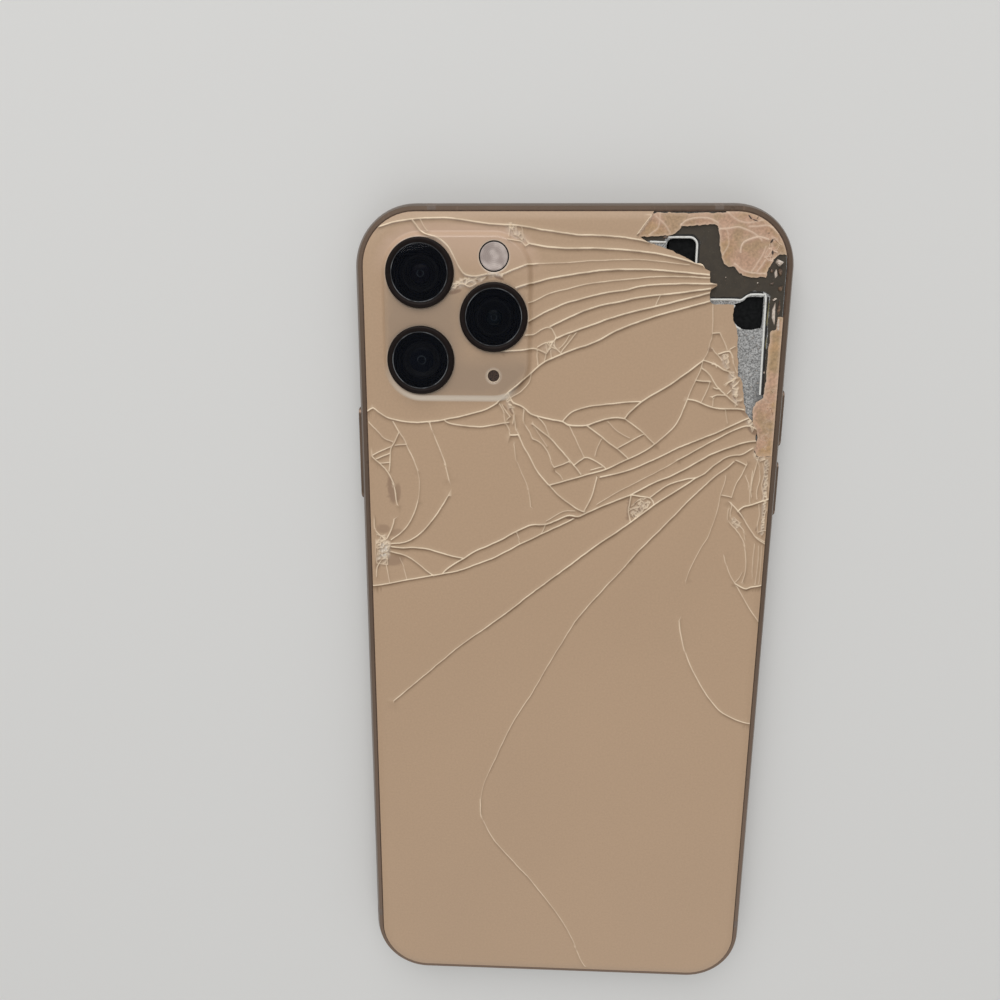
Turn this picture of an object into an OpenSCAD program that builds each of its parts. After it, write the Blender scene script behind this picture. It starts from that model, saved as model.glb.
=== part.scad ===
// Slab phone with a shattered glass back, lying on its screen.
// Frame: +Z out of the back, +Y towards the camera end, +X to the right seen from behind.
// The origin is under the middle of the screen glass, so the phone fills z = 0 and up.

/* [Body] */
// Width across the metal band, without the keys
body_w = 77.8; // [72:0.1:94]
// Length of the metal band
body_l = 158; // [140:0.5:190]
// Thickness from screen glass to back glass, without the camera plateau
body_t = 8.1; // [7.6:0.1:9.8]
// Outline radius of the band at its four corners
corner_r = 11.2; // [10:0.1:13]
// Thickness of the band at its middle
band_wall = 2.5; // [2.4:0.1:3]
// Radius of the band's bulged outer face, seen in section
bulge_r = 6.5; // [5.5:0.1:9]
// How far each glass stands proud of the band's edge
band_rim = 0.75; // [0.6:0.05:0.9]
// From the widest point of the band in to the pocket that holds each glass
lip_inset = 1.55; // [1.1:0.05:1.8]
// Width of one plastic antenna break
break_w = 1.5; // [1:0.1:2.5]
// Distance of the two top breaks from the centre line
break_x = 24.8; // [20:0.1:26]
// Height of the two side breaks above the bottom end
break_y = 14; // [12:0.5:20]

/* [Glass and sheets] */
// Thickness of the screen glass and of the back glass
glass_t = 0.7; // [0.55:0.05:0.9]
// Width of the plastic bead between each glass and the band
bead_w = 0.3; // [0.2:0.05:0.35]
// How far the ground edge of each glass falls away
edge_drop = 0.35; // [0.2:0.05:0.45]
// Thickness of the display panel
panel_t = 0.8; // [0.6:0.05:1]
// Thickness of the steel sheet behind the display
shield_t = 0.2; // [0.15:0.05:0.3]
// Thickness of the steel plate under the back glass
plate_t = 0.4; // [0.3:0.05:0.6]
// Thickness of the dark film that bonds the back glass to the plate
film_t = 0.1; // [0.05:0.05:0.2]
// Thickness of the spalled layer left at the broken corner
remnant_t = 0.35; // [0.2:0.05:0.5]
// Distance of the corner damage from the band's right side
damage_x = 1.2; // [0.8:0.05:1.6]
// Distance of the corner damage from the band's top end
damage_y = 0.7; // [0.4:0.05:1.1]
// Size of the corner damage
damage_scale = 0.974; // [0.9:0.002:1.05]
// Width of a crack in the back glass
crack_w = 0.12; // [0.08:0.02:0.3]
// Depth of a crack in the back glass
crack_depth = 0.25; // [0.1:0.05:0.4]

/* [Cameras] */
// Width of the raised glass plateau
plateau_w = 27.1; // [26:0.1:30]
// Length of the raised glass plateau
plateau_l = 29.6; // [29:0.1:33]
// Corner radius of the plateau
plateau_r = 7.1; // [5:0.1:9]
// Height of the plateau above the back glass
plateau_h = 1; // [0.6:0.1:1.5]
// Distance of the plateau from the band's left and top sides
plateau_inset = 5; // [4:0.1:6]
// Distance of the left column of lenses from the plateau's left edge
lens_x = 7.1; // [7:0.1:8]
// Sideways distance from the left column to the right lens
lens_step_x = 13; // [13:0.1:14]
// Distance of the top lens from the plateau's top edge
lens_y = 7.2; // [7:0.1:8.5]
// Distance between the two lenses of the left column
lens_step_y = 15; // [14.8:0.1:16.5]
// Outer radius of a camera's trim ring
ring_r = 6; // [5.2:0.05:6.4]
// Wall of the trim ring beside its window
ring_wall = 0.95; // [0.7:0.05:1.2]
// Height of a trim ring above the plateau
ring_h = 0.8; // [0.5:0.1:1.2]
// Thickness of a camera's window
window_t = 0.4; // [0.3:0.05:0.5]
// Side of a camera module
module_w = 11.8; // [10.5:0.1:12.4]
// Radius of a moving lens barrel
barrel_r = 3.45; // [2.8:0.05:3.7]
// Focus travel of a lens barrel
focus_travel = 0.3; // [0.2:0.05:0.4]
// Radius of the flash window
flash_r = 2.6; // [2:0.1:3]
// Distance of the flash from the plateau's top edge
flash_y = 4.4; // [4:0.1:5]
// Radius of the rear microphone's mesh
mic_r = 1; // [0.8:0.05:1.4]
// Distance of the rear microphone from the plateau's top edge
mic_y = 24.9; // [24.5:0.1:26.5]

/* [Keys, switch and tray] */
// Height of a key on the band
key_h = 2.4; // [2:0.1:2.8]
// How far a key stands out of the band
key_proud = 0.35; // [0.2:0.05:0.5]
// Travel of a key
key_travel = 0.3; // [0.2:0.05:0.4]
// Length of the side key
side_key_l = 17.4; // [14:0.1:20]
// Distance of the side key's middle from the top end
side_key_y = 44.8; // [42:0.1:50]
// Length of each volume key
volume_key_l = 10.4; // [9:0.1:11.5]
// Distance of the volume-up key's middle from the top end
volume_up_y = 37.5; // [36:0.1:40]
// Distance between the middles of the two volume keys
volume_step = 13.2; // [13:0.1:16]
// Length of the mute switch's lever
mute_l = 5.2; // [4:0.1:5.6]
// Height of the mute switch's lever
mute_h = 1.9; // [1.4:0.1:2.1]
// Travel of the mute switch, towards the back
mute_travel = 1.2; // [0.8:0.1:1.4]
// Distance of the mute switch from the top end
mute_y = 24.8; // [23:0.1:26]
// Length of the card tray's cap along the band
tray_l = 14.6; // [13:0.1:16]
// Height of the card tray's cap
tray_h = 2.4; // [2:0.1:2.8]
// Thickness of the card tray's tongue
tongue_t = 1; // [0.8:0.1:1.2]
// How far the card tray reaches into the phone behind its cap
tongue_l = 17; // [14:0.5:19]
// Distance of the card tray's middle from the top end
tray_y = 81; // [78:0.5:84]

/* [Bottom end] */
// Width of the charging socket's mouth
port_w = 8.6; // [8:0.1:9]
// Height of the charging socket's mouth
port_h = 2.7; // [2.4:0.1:3]
// Depth of the charging socket
port_depth = 7; // [6:0.5:9]
// Radius of a bottom screw's head
screw_r = 0.8; // [0.6:0.05:1]
// Distance of each bottom screw from the centre line
screw_x = 8.3; // [7.8:0.1:9]
// Radius of one sound hole
hole_r = 0.75; // [0.5:0.05:0.9]
// Distance between sound holes
hole_step = 2.6; // [2.2:0.1:3]
// Distance of the first sound hole from the centre line
hole_x = 12.5; // [11.5:0.1:14]
// Sound holes on each side of the socket
hole_count = 6; // [3:1:6]

/* [Inside] */
// Width of the logic board
board_w = 24; // [20:0.5:26]
// Thickness of the logic board
board_t = 0.7; // [0.5:0.05:0.8]
// Outer radius of the charging coil
coil_r = 22; // [18:0.5:23]
// Radius of the hole in the charging coil
coil_hole_r = 10; // [7:0.5:12]
// Thickness of the charging coil
coil_t = 0.35; // [0.2:0.05:0.35]
// Thickness of the ferrite sheet under the coil
ferrite_t = 0.5; // [0.3:0.05:0.6]
// Length kept for the parts at the bottom end
bottom_zone = 22.5; // [20:0.5:26]
// Length kept for the front sensors at the top end
sensor_zone = 6.6; // [5:0.1:8]
// Thickness of sheet-metal cans and brackets
sheet_t = 0.25; // [0.2:0.05:0.3]
// Length of the haptic motor
haptic_l = 24; // [18:0.5:26]
// Width of the haptic motor
haptic_w = 11; // [8:0.5:12]
// Travel of the haptic motor's weight each way
haptic_travel = 0.4; // [0.2:0.1:0.6]

/* [Hidden] */
$fn = 64;

// Clearances
run_gap = 0.12;      // around a key, lever or tray in its slot
barrel_gap = 0.15;   // around a lens barrel in its module
seat_gap = 0.05;     // between a moving face and the stop it rests against
part_gap = 0.6;      // between neighbouring parts inside
fine_gap = 0.03;     // around a window, ring or lens dropped into its hole
air_gap = 0.2;       // between stacked layers inside

// Levels, from the screen face up
mid_z = body_t/2;
front_seat = glass_t + panel_t + air_gap + fine_gap*2;   // ledge that the display rests on
back_seat = body_t - glass_t - film_t - plate_t;         // ledge that the plate lies on
film_z = back_seat + plate_t;
glass_z = film_z + film_t;                               // underside of the back glass
plateau_z = body_t + plateau_h;
ring_top = plateau_z + ring_h;
window_z = ring_top - window_t - seat_gap;
room = back_seat - front_seat;                           // height of the chamber
ferrite_z = back_seat - ferrite_t;
stack_top = ferrite_z - air_gap;                         // top of the battery and the cans
floor_z = front_seat + air_gap;

// Outlines and the chamber
pocket_inset = lip_inset;
glass_inset = pocket_inset + bead_w;
plate_inset = pocket_inset + 0.35;
in_x = body_w/2 - band_wall;
in_y = body_l/2 - band_wall;
break_at_y = -body_l/2 + break_y;

// Cameras
plateau_x0 = -body_w/2 + plateau_inset;
plateau_y1 = body_l/2 - plateau_inset;
plateau_y0 = plateau_y1 - plateau_l;
plateau_x1 = plateau_x0 + plateau_w;
lens_left_x = plateau_x0 + lens_x;
lens_right_x = lens_left_x + lens_step_x;
tele_at = [lens_left_x, plateau_y1 - lens_y];
wide_at = [lens_left_x, plateau_y1 - lens_y - lens_step_y];
ultrawide_at = [lens_right_x, (tele_at[1] + wide_at[1])/2];
flash_at = [lens_right_x, plateau_y1 - flash_y];
mic_at = [lens_right_x, plateau_y1 - mic_y];
window_r = ring_r - ring_wall;
throat_r = window_r - 0.3;                // hole under a window
module_z = floor_z + sheet_t;
module_top = back_seat - air_gap;
turret_r = barrel_r + barrel_gap + 0.7;
barrel_z = module_z + 0.5;
barrel_top = window_z - focus_travel - 0.75;
bracket_wall = 0.4;
bracket_gap = 0.1;

// Keys, measured in from the band's widest point
shoulder_in = 1.6;       // where the inner pocket of a key slot starts
flange_t = 0.35;
flange_grow = 0.6;       // how far the flange is larger than the cap, each way along the band
flange_rise = 0.4;       // and each way across it
plunger_r = 0.8;
plunger_l = 0.45;
dome_r = 1.4;
dome_t = 0.3;
flange_face = shoulder_in + seat_gap;
plunger_end = flange_face + flange_t + plunger_l;
dome_face = plunger_end + key_travel + seat_gap;
bracket_face = dome_face + dome_t;
bracket_t = 0.5;
bracket_h = 2.8;
lug_l = 1.2;
switch_back = bracket_face + bracket_t;   // innermost face of a switch bracket

side_at = body_l/2 - side_key_y;
volume_up_at = body_l/2 - volume_up_y;
volume_down_at = volume_up_at - volume_step;
mute_at = body_l/2 - mute_y;
mute_low = mid_z - (mute_h + mute_travel)/2;
mute_flange_h = room - mute_travel - 4*run_gap;
mute_flange_low = front_seat + 2*run_gap;
mute_plate = 0.45;       // thickness of the lever's flange

// Card tray and reader
tray_at = body_l/2 - tray_y;
cap_t = 1.4;
tongue_w = tray_l - 3;
tongue_shift = 0.7;      // the tongue leaves room for the eject hole beside it
eject_r = 0.45;
card_l = 12.4;
card_w = 8.9;
card_ledge_t = 0.3;
reader_wall = 0.2;
reader_h = tongue_t + air_gap + 2*reader_wall;
reader_w = tray_l + 2*reader_wall + 1;
reader_l = tongue_l + 1;
board_z = mid_z - reader_h/2 - board_t;

// Ground plan of the chamber
board_x0 = -body_w/2 + switch_back + air_gap;
board_x1 = board_x0 + board_w;
board_y1 = plateau_y0 - part_gap;
reader_y0 = tray_at - reader_w/2;
board_y0 = reader_y0 - part_gap;
leg_y1 = board_y0 - part_gap;
battery_x0 = board_x1 + part_gap;
battery_x1 = body_w/2 - switch_back - part_gap;
battery_y0 = -in_y + bottom_zone;
battery_y1 = board_y1;
sensor_y0 = in_y - sensor_zone;
upper_y0 = battery_y1 + part_gap + 0.6;
carrier_x1 = battery_x1;
carrier_x0 = carrier_x1 - 21;
carrier_y0 = body_l/2 - 22;
// Middle and width of each front sensor along the strip: infrared camera, camera, projector
sensor_list = [[-12.6, 3.4], [9.6, 3], [14.2, 2.6]];
sensor_x1 = sensor_list[2][0] + sensor_list[2][1]/2 + 0.5;
sensor_z = glass_t + 0.15;
port_l = port_depth + 1;
port_wall = 0.8;
port_mouth_y = -body_l/2 + 0.4;
port_back_y = port_mouth_y + port_l;
speaker_x0 = screw_x + screw_r + part_gap;
mesh_t = 0.15;           // thickness of the mesh behind the sound holes
haptic_x0 = speaker_x0 - part_gap - haptic_l;
haptic_y0 = battery_y0 - part_gap - haptic_w;
haptic_wall = 0.4;
haptic_z1 = mid_z + 1.7;
screw_l = 5.5;

// A point of the damage, as its distance in from the glass's right side and down from its top end
function from_corner(p) = [body_w/2 - damage_x - damage_scale*p[0],
                           body_l/2 - damage_y - damage_scale*p[1]];
function corner_points(list) = [for (p = list) from_corner(p)];

// Edge of the glass that still holds, from the top end down to the right side
break_line = [[24.7, -2], [24.7, 0.5], [26.5, 4.1], [28, 5.7], [25, 6.2], [21.9, 7.6], [18.9, 8.9],
              [16.6, 10], [15.4, 10.3], [15.2, 11], [14.3, 11.8], [14.1, 13.3], [13, 13.5],
              [13, 14], [14, 14.6], [13.9, 16.7], [10, 16.8], [9.8, 20], [9.4, 21.2],
              [8.8, 22.7], [8.7, 26], [8, 29.4], [7.6, 30.7], [7.2, 32.7], [6.5, 36.1],
              [5.8, 37.3], [5, 38.3], [4.2, 39.6], [4.3, 40.7], [3.7, 43.6], [2.6, 44.1],
              [-2, 43.9], [-2, -2]];
corner_layer = [[24.4, -1], [24.2, 3.8], [23.3, 5.4], [22.3, 5], [19.7, 3.6], [18.9, 3.7],
                [16.9, 3.4], [14.3, 3.6], [13.3, 3.3], [12.8, 4.3], [12.4, 7.2], [11.9, 9.4],
                [11.3, 10.4], [10.1, 10.3], [8.8, 11.7], [7.6, 12.4], [4.1, 12.3], [3.9, 10.8],
                [2.7, 9], [1.9, 8.4], [-1, 8.4], [-1, -1]];
edge_layer = [[2.7, 19.2], [-1, 19.2], [-1, 43.4], [2.5, 43.6], [3.4, 43.1], [4, 40.6],
              [4, 39.4], [4.7, 38.1], [5, 36.4], [4.6, 34.8], [3.3, 33.7], [3.1, 31],
              [3, 27], [2.8, 23], [3, 21.4]];
// Window in the bond film, where bare plate shows, and the pale trim along its top
film_window = [[13.9, 16.05], [8.5, 16.05], [7.3, 15.15], [4.3, 15.15], [3.85, 15.6], [3.6, 34],
               [3.6, 49], [13.9, 49]];
trim_strip = [[13.9, 16.05], [8.5, 16.05], [7.3, 15.15], [4.3, 15.15], [3.85, 15.6], [3.6, 34],
              [3.8, 34], [4.15, 22], [4.15, 15.75], [4.45, 15.5], [7.2, 15.5], [8.3, 16.4],
              [13.9, 16.4]];
opening_b = [[9.5, 16.9], [8, 16.4], [7.1, 15.7], [4.6, 15.7], [4.3, 16], [4.3, 20.6],
             [4.8, 21.2], [6.4, 21.5], [8, 21.2], [9, 20.4], [9.7, 19.2]];
// Upper opening in the plate: its right side, top, width, length and corner radius
opening_a = [16.9, 5.7, 5.1, 8.8, 1.2];
trim_w = 0.35;
trim_t = 0.2;
// The longest cracks
cracks = [[[50.3, 33.3], [45.2, 28.6], [40.9, 26.4], [34.9, 23.7], [26.9, 19.9], [13.9, 16.5]],
          [[46.8, 23], [41.9, 20.8], [34.9, 17.7], [26.9, 15.8], [13.9, 14.1]],
          [[32.6, 48.8], [24.9, 47], [16.9, 43.1], [5.9, 37.5]],
          [[34.9, 55.7], [26.5, 52.1], [18.9, 48.2], [10.9, 43.6], [4.2, 40.8]],
          [[72.9, 95.2], [63.9, 87.3], [48.9, 75.2], [28.9, 59.2], [14.1, 48.9], [4.1, 42.8]],
          [[32.2, 155.5], [38.6, 144], [50.9, 127.7], [55.4, 118], [53.2, 109], [42.4, 87.5],
           [33.7, 74], [20.9, 59], [7.3, 45.7]],
          [[16.4, 76.5], [14.9, 83.8], [10.4, 91.8], [2, 98.3]],
          [[75.2, 36.7], [70.9, 38.5], [62.9, 38.5], [54.9, 36.5], [51.1, 34.1]],
          [[75.2, 70.8], [58.9, 67.4], [43.9, 60.2], [34.9, 55.7]],
          [[49.7, 34], [47.4, 43.5], [42.2, 50.5], [34.9, 55.7]],
          [[48.9, 35], [40.1, 38.5], [28.6, 37.8], [14.3, 27.1]],
          [[72.4, 62.4], [64.4, 58], [61.3, 50], [64.4, 39.2]]];

// ---------- shared shapes ----------

// Rounded rectangle, centred
module rounded(w, l, r) {
    square([w, l - 2*r], center = true);
    square([w - 2*r, l], center = true);
    for (x = [-1, 1], y = [-1, 1])
        translate([x*(w/2 - r), y*(l/2 - r)]) circle(r);
}

// The phone's outline, moved in by a distance
module outline(inset) {
    rounded(body_w - 2*inset, body_l - 2*inset, corner_r - inset);
}

module slab(inset, z0, z1) {
    translate([0, 0, z0]) linear_extrude(z1 - z0) outline(inset);
}

// Flat ring that follows the outline
module outline_ring(outer, inner, z0, z1) {
    difference() {
        slab(outer, z0, z1);
        slab(inner, z0 - 1, z1 + 1);
    }
}

// Sweeps a 2D profile round the outline. Profile x = r lies on an outline of w by l.
module sweep_around(w, l, r) {
    for (side = [0, 1]) rotate([0, 0, 180*side]) {
        translate([w/2 - r, l/2 - r, 0]) {
            rotate_extrude(angle = 90) children();
            rotate([90, 0, 0]) linear_extrude(l - 2*r) children();
        }
        rotate([0, 0, 90]) translate([l/2 - r, w/2 - r, 0]) {
            rotate_extrude(angle = 90) children();
            rotate([90, 0, 0]) linear_extrude(w - 2*r) children();
        }
    }
}

module sweep_body(inset) {
    sweep_around(body_w - 2*inset, body_l - 2*inset, corner_r - inset) children();
}

// What is ground off the edge of a glass whose face is at z = 0, upwards
module ground_edge(r) {
    polygon([[r - 2.2, 0], [r - 1, -edge_drop*0.3], [r, -edge_drop], [r + 1, -edge_drop],
             [r + 1, 0.5], [r - 2.2, 0.5]]);
}

// Stadium, long along x
module stadium(l, h) {
    square([l - h, h], center = true);
    for (x = [-1, 1]) translate([x*(l - h)/2, 0]) circle(h/2);
}

// Stands a shape drawn as (along the band, across it) on the right side.
// from and to are distances in from the band's widest point.
module on_right(y, from, to) {
    translate([body_w/2 - to, y, mid_z]) rotate([90, 0, 90])
        linear_extrude(to - from) children();
}

module box(x0, x1, y0, y1, z0, z1) {
    translate([x0, y0, z0]) cube([x1 - x0, y1 - y0, z1 - z0]);
}

module tube(r, bore, z0, z1) {
    translate([0, 0, z0]) difference() {
        cylinder(r = r, h = z1 - z0);
        translate([0, 0, -1]) cylinder(r = bore, h = z1 - z0 + 2);
    }
}

// ---------- metal band ----------

module band_profile() {
    difference() {
        intersection() {
            translate([corner_r - bulge_r, mid_z]) circle(bulge_r);
            translate([corner_r - band_wall, band_rim])
                square([band_wall + 1, body_t - 2*band_rim]);
        }
        translate([corner_r - band_wall - 1, back_seat])
            square([band_wall + 1 - pocket_inset, body_t]);
        translate([corner_r - band_wall - 1, -body_t])
            square([band_wall + 1 - pocket_inset, front_seat + body_t]);
    }
}

module band() {
    sweep_body(0) band_profile();
}

// Slices of the band where the four plastic breaks sit
module break_slices(w) {
    for (x = [-1, 1]) {
        box(x*break_x - w/2, x*break_x + w/2, in_y - 2, body_l, -1, body_t + 1);
        translate([x*body_w/2, break_at_y - w/2, -1])
            translate([-band_wall - 2, 0, 0]) cube([2*band_wall + 4, w, body_t + 2]);
    }
}

module upper_half(side) {
    x0 = side < 0 ? -body_w : break_x + break_w/2;
    difference() {
        box(x0, x0 + body_w*2 - (break_x + break_w/2), break_at_y + break_w/2, body_l,
            -1, body_t + 1);
        if (side < 0) box(-break_x - break_w/2, body_w*2, in_y - corner_r, body_l, -2, body_t + 2);
        if (side < 0) box(0, body_w*2, -body_l, body_l, -2, body_t + 2);
    }
}

module frame_top() {
    color([0.60, 0.50, 0.42]) intersection() {
        band();
        box(-break_x + break_w/2, break_x - break_w/2, 0, body_l, -1, body_t + 1);
    }
}

module frame_left() {
    color([0.60, 0.50, 0.42]) difference() {
        intersection() {
            band();
            upper_half(-1);
        }
        mirror([1, 0, 0]) key_slot(side_at, side_key_l);
        mirror([1, 0, 0]) on_right(tray_at, -1, band_wall + 1)
            stadium(tray_l + 2*run_gap, tray_h + 2*run_gap);
    }
}

module frame_right() {
    color([0.60, 0.50, 0.42]) difference() {
        intersection() {
            band();
            upper_half(1);
        }
        key_slot(volume_up_at, volume_key_l);
        key_slot(volume_down_at, volume_key_l);
        on_right(mute_at, -1, band_wall + 1)
            square([mute_l + 2*run_gap, mute_h + mute_travel + 2*run_gap], center = true);
        translate([0, 0, front_seat + room/2 - mid_z]) on_right(mute_at, shoulder_in, band_wall + 1)
            square([mute_l + 2*flange_grow + 2*run_gap, room - 2*run_gap], center = true);
    }
}

module frame_bottom() {
    color([0.60, 0.50, 0.42]) difference() {
        intersection() {
            band();
            box(-body_w, body_w, -body_l, break_at_y - break_w/2, -1, body_t + 1);
        }
        translate([0, -in_y + 1, mid_z]) rotate([90, 0, 0]) {
            linear_extrude(band_wall + 2) stadium(port_w + 0.4, port_h + 0.4);
            linear_extrude(1 + band_wall - 0.4)
                stadium(port_w + 2*port_wall, port_h + 2*port_wall);
            for (x = [-1, 1]) translate([x*screw_x, 0, 0]) {
                cylinder(r = screw_r + fine_gap, h = band_wall + 2);
            }
            for (x = [-1, 1], i = [0:hole_count - 1])
                translate([x*(hole_x + i*hole_step), 0, 0])
                    cylinder(r = hole_r, h = band_wall + 2);
        }
    }
}

module antenna_breaks() {
    color([0.55, 0.47, 0.40]) intersection() {
        band();
        break_slices(break_w);
    }
}

// ---------- display ----------

module display_glass() {
    color([0.05, 0.05, 0.06]) difference() {
        slab(glass_inset, 0, glass_t);
        mirror([0, 0, 1]) sweep_body(glass_inset) ground_edge(corner_r - glass_inset);
        translate([0, in_y - sensor_zone/2 + 0.6, -1]) linear_extrude(glass_t + 2) stadium(11, 1.1);
    }
}

// The panel is notched at the top end for the front sensors
module display_panel() {
    color([0.12, 0.12, 0.14]) difference() {
        slab(band_wall + 0.2, glass_t, glass_t + panel_t);
        box(-17.4, 17.4, sensor_y0 - 0.4, body_l, 0, front_seat);
    }
}

module display_shield() {
    z = glass_t + panel_t;
    color([0.45, 0.46, 0.48]) difference() {
        slab(band_wall + 1.4, z, z + shield_t);
        box(-17.4, 17.4, sensor_y0 - 0.4, body_l, 0, front_seat + 1);
    }
}

module display_bezel() {
    color([0.16, 0.14, 0.13]) {
        outline_ring(pocket_inset, glass_inset, band_rim*0.7, glass_t);
        outline_ring(pocket_inset, band_wall + 0.1, glass_t, glass_t + panel_t);
    }
}

module display_seal() {
    color([0.10, 0.10, 0.10])
        outline_ring(pocket_inset + 0.15, band_wall + 0.1, glass_t + panel_t, front_seat);
}

// ---------- back ----------

module plateau_shape(grow) {
    translate([(plateau_x0 + plateau_x1)/2, (plateau_y0 + plateau_y1)/2])
        rounded(plateau_w + 2*grow, plateau_l + 2*grow, plateau_r + grow);
}

module opening_a_shape(grow) {
    p = from_corner([opening_a[0], opening_a[1]]);
    w = opening_a[2];
    l = opening_a[3];
    translate([p[0] - w/2, p[1] - l/2])
        rounded(w + 2*grow, l + 2*grow, opening_a[4] + grow);
}

module mid_plate() {
    color([0.62, 0.64, 0.65]) difference() {
        slab(plate_inset, back_seat, film_z);
        translate([0, 0, back_seat - 1]) {
            linear_extrude(plate_t + 2) plateau_shape(-1);
            cylinder(r = coil_r + 0.8, h = plate_t + 2);
            linear_extrude(plate_t + 2) opening_a_shape(0);
            linear_extrude(plate_t + 2) polygon(corner_points(opening_b));
        }
    }
}

module bond_film() {
    color([0.22, 0.20, 0.17]) difference() {
        slab(plate_inset + 0.1, film_z, glass_z);
        translate([0, 0, film_z - 1]) {
            linear_extrude(film_t + 2) plateau_shape(-1);
            linear_extrude(film_t + 2) opening_a_shape(trim_w);
            linear_extrude(film_t + 2) polygon(corner_points(film_window));
        }
    }
}

// Pale lip round the upper opening and along the edge of the bare plate
module opening_trims() {
    color([0.80, 0.80, 0.77]) translate([0, 0, film_z]) {
        linear_extrude(film_t) difference() {
            opening_a_shape(trim_w);
            opening_a_shape(0);
        }
        linear_extrude(film_t) polygon(corner_points(trim_strip));
    }
}

module back_bezel() {
    color([0.24, 0.17, 0.12])
        outline_ring(pocket_inset, glass_inset, back_seat, body_t - band_rim + 0.1);
}

// One crack, as thin slots end to end
module crack(points) {
    for (i = [0:len(points) - 2]) {
        a = points[i];
        b = points[i + 1];
        d = b - a;
        translate([a[0], a[1], body_t - crack_depth]) rotate([0, 0, atan2(d[1], d[0])])
            translate([-crack_w/2, -crack_w/2, 0])
                cube([norm(d) + crack_w, crack_w, crack_depth + 1]);
    }
}

module back_glass() {
    color([0.69, 0.58, 0.47]) difference() {
        union() {
            difference() {
                slab(glass_inset, glass_z, body_t);
                translate([0, 0, body_t])
                    sweep_body(glass_inset) ground_edge(corner_r - glass_inset);
                for (points = cracks) crack(corner_points(points));
            }
            translate([0, 0, glass_z]) linear_extrude(plateau_z - glass_z - 0.3) plateau_shape(0);
            translate([0, 0, glass_z]) linear_extrude(plateau_z - glass_z) plateau_shape(-0.4);
        }
        translate([0, 0, glass_z - 1])
            linear_extrude(glass_t + 3) polygon(corner_points(break_line));
        for (at = [wide_at, tele_at, ultrawide_at]) translate([at[0], at[1], 0])
            cylinder(r = ring_r + fine_gap, h = plateau_z + 1);
        translate([flash_at[0], flash_at[1], 0]) cylinder(r = flash_r + fine_gap, h = plateau_z + 1);
        translate([mic_at[0], mic_at[1], 0]) cylinder(r = mic_r + fine_gap, h = plateau_z + 1);
    }
}

// A spalled layer that the bond film still holds
module remnant(points) {
    color([0.72, 0.57, 0.46]) translate([0, 0, glass_z]) linear_extrude(remnant_t)
        intersection() {
            outline(glass_inset);
            polygon(corner_points(points));
        }
}

// ---------- cameras ----------

module camera_ring(at) {
    color([0.07, 0.05, 0.05]) translate([at[0], at[1], 0]) {
        tube(ring_r, throat_r, back_seat, window_z);
        tube(ring_r, window_r, window_z, ring_top);
    }
}

module camera_window(at) {
    color([0.02, 0.02, 0.03]) translate([at[0], at[1], window_z])
        cylinder(r = window_r - fine_gap, h = window_t);
}

module camera_module(at) {
    bore = barrel_r + barrel_gap;
    color([0.18, 0.18, 0.20]) translate([at[0], at[1], 0]) difference() {
        union() {
            box(-module_w/2, module_w/2, -module_w/2, module_w/2, module_z, module_top);
            cylinder(r = turret_r, h = barrel_top - 0.8);
        }
        translate([0, 0, barrel_z - seat_gap]) cylinder(r = bore, h = body_t);
        translate([0, 0, -1]) cylinder(r = turret_r + 1, h = module_z + 1);
    }
}

// Barrel with a dished front and a domed front lens
module lens_barrel(at) {
    dish = 0.5;
    dish_r = barrel_r - 0.6;
    lens_r = 1.7;
    color([0.05, 0.05, 0.06]) translate([at[0], at[1], barrel_z]) difference() {
        cylinder(r = barrel_r, h = barrel_top - barrel_z);
        translate([0, 0, barrel_top - barrel_z - dish])
            cylinder(r1 = lens_r, r2 = dish_r, h = dish + 0.001);
    }
}

// Sheet-metal tray that holds the three modules under the plate
module camera_bracket() {
    half = module_w/2 + bracket_gap;
    out = half + bracket_wall;
    color([0.55, 0.55, 0.56]) difference() {
        union() {
            for (at = [wide_at, tele_at, ultrawide_at])
                box(at[0] - out, at[0] + out, at[1] - out, at[1] + out, floor_z, back_seat);
            box(lens_left_x - out, lens_left_x + out, wide_at[1], tele_at[1], floor_z, back_seat);
            box(lens_left_x, lens_right_x, ultrawide_at[1] - out, ultrawide_at[1] + out,
                floor_z, back_seat);
        }
        for (at = [wide_at, tele_at, ultrawide_at])
            box(at[0] - half, at[0] + half, at[1] - half, at[1] + half,
                floor_z + sheet_t, back_seat + 1);
    }
}

module flash_window() {
    color([0.85, 0.80, 0.74]) translate([flash_at[0], flash_at[1], glass_z])
        cylinder(r = flash_r, h = plateau_z - glass_z);
}

module flash_module() {
    color([0.75, 0.72, 0.60]) {
        box(flash_at[0] - 3, flash_at[0] + 3, flash_at[1] - 2.5, flash_at[1] + 2.5,
            back_seat - 0.9, back_seat - 0.3);
        translate([flash_at[0], flash_at[1], back_seat - 0.3]) cylinder(r = 1.8, h = glass_z - back_seat + 0.3);
    }
}

module rear_mic_mesh() {
    color([0.20, 0.13, 0.10]) translate([mic_at[0], mic_at[1], glass_z])
        cylinder(r = mic_r, h = plateau_z - glass_z - 0.25);
}

// ---------- inside ----------

module logic_board() {
    color([0.06, 0.16, 0.12]) box(board_x0, board_x1, board_y0, board_y1, board_z, board_z + board_t);
}

// Stamped can over the chips, open underneath
module board_shield() {
    z = board_z + board_t;
    y0 = tray_at + reader_w/2 + part_gap;
    color([0.66, 0.67, 0.68]) difference() {
        box(board_x0 + 0.5, board_x1 - 0.5, y0, board_y1 - 0.5, z, stack_top);
        box(board_x0 + 0.5 + sheet_t, board_x1 - 0.5 - sheet_t, y0 + sheet_t,
            board_y1 - 0.5 - sheet_t, z - 1, stack_top - sheet_t);
    }
}

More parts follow.
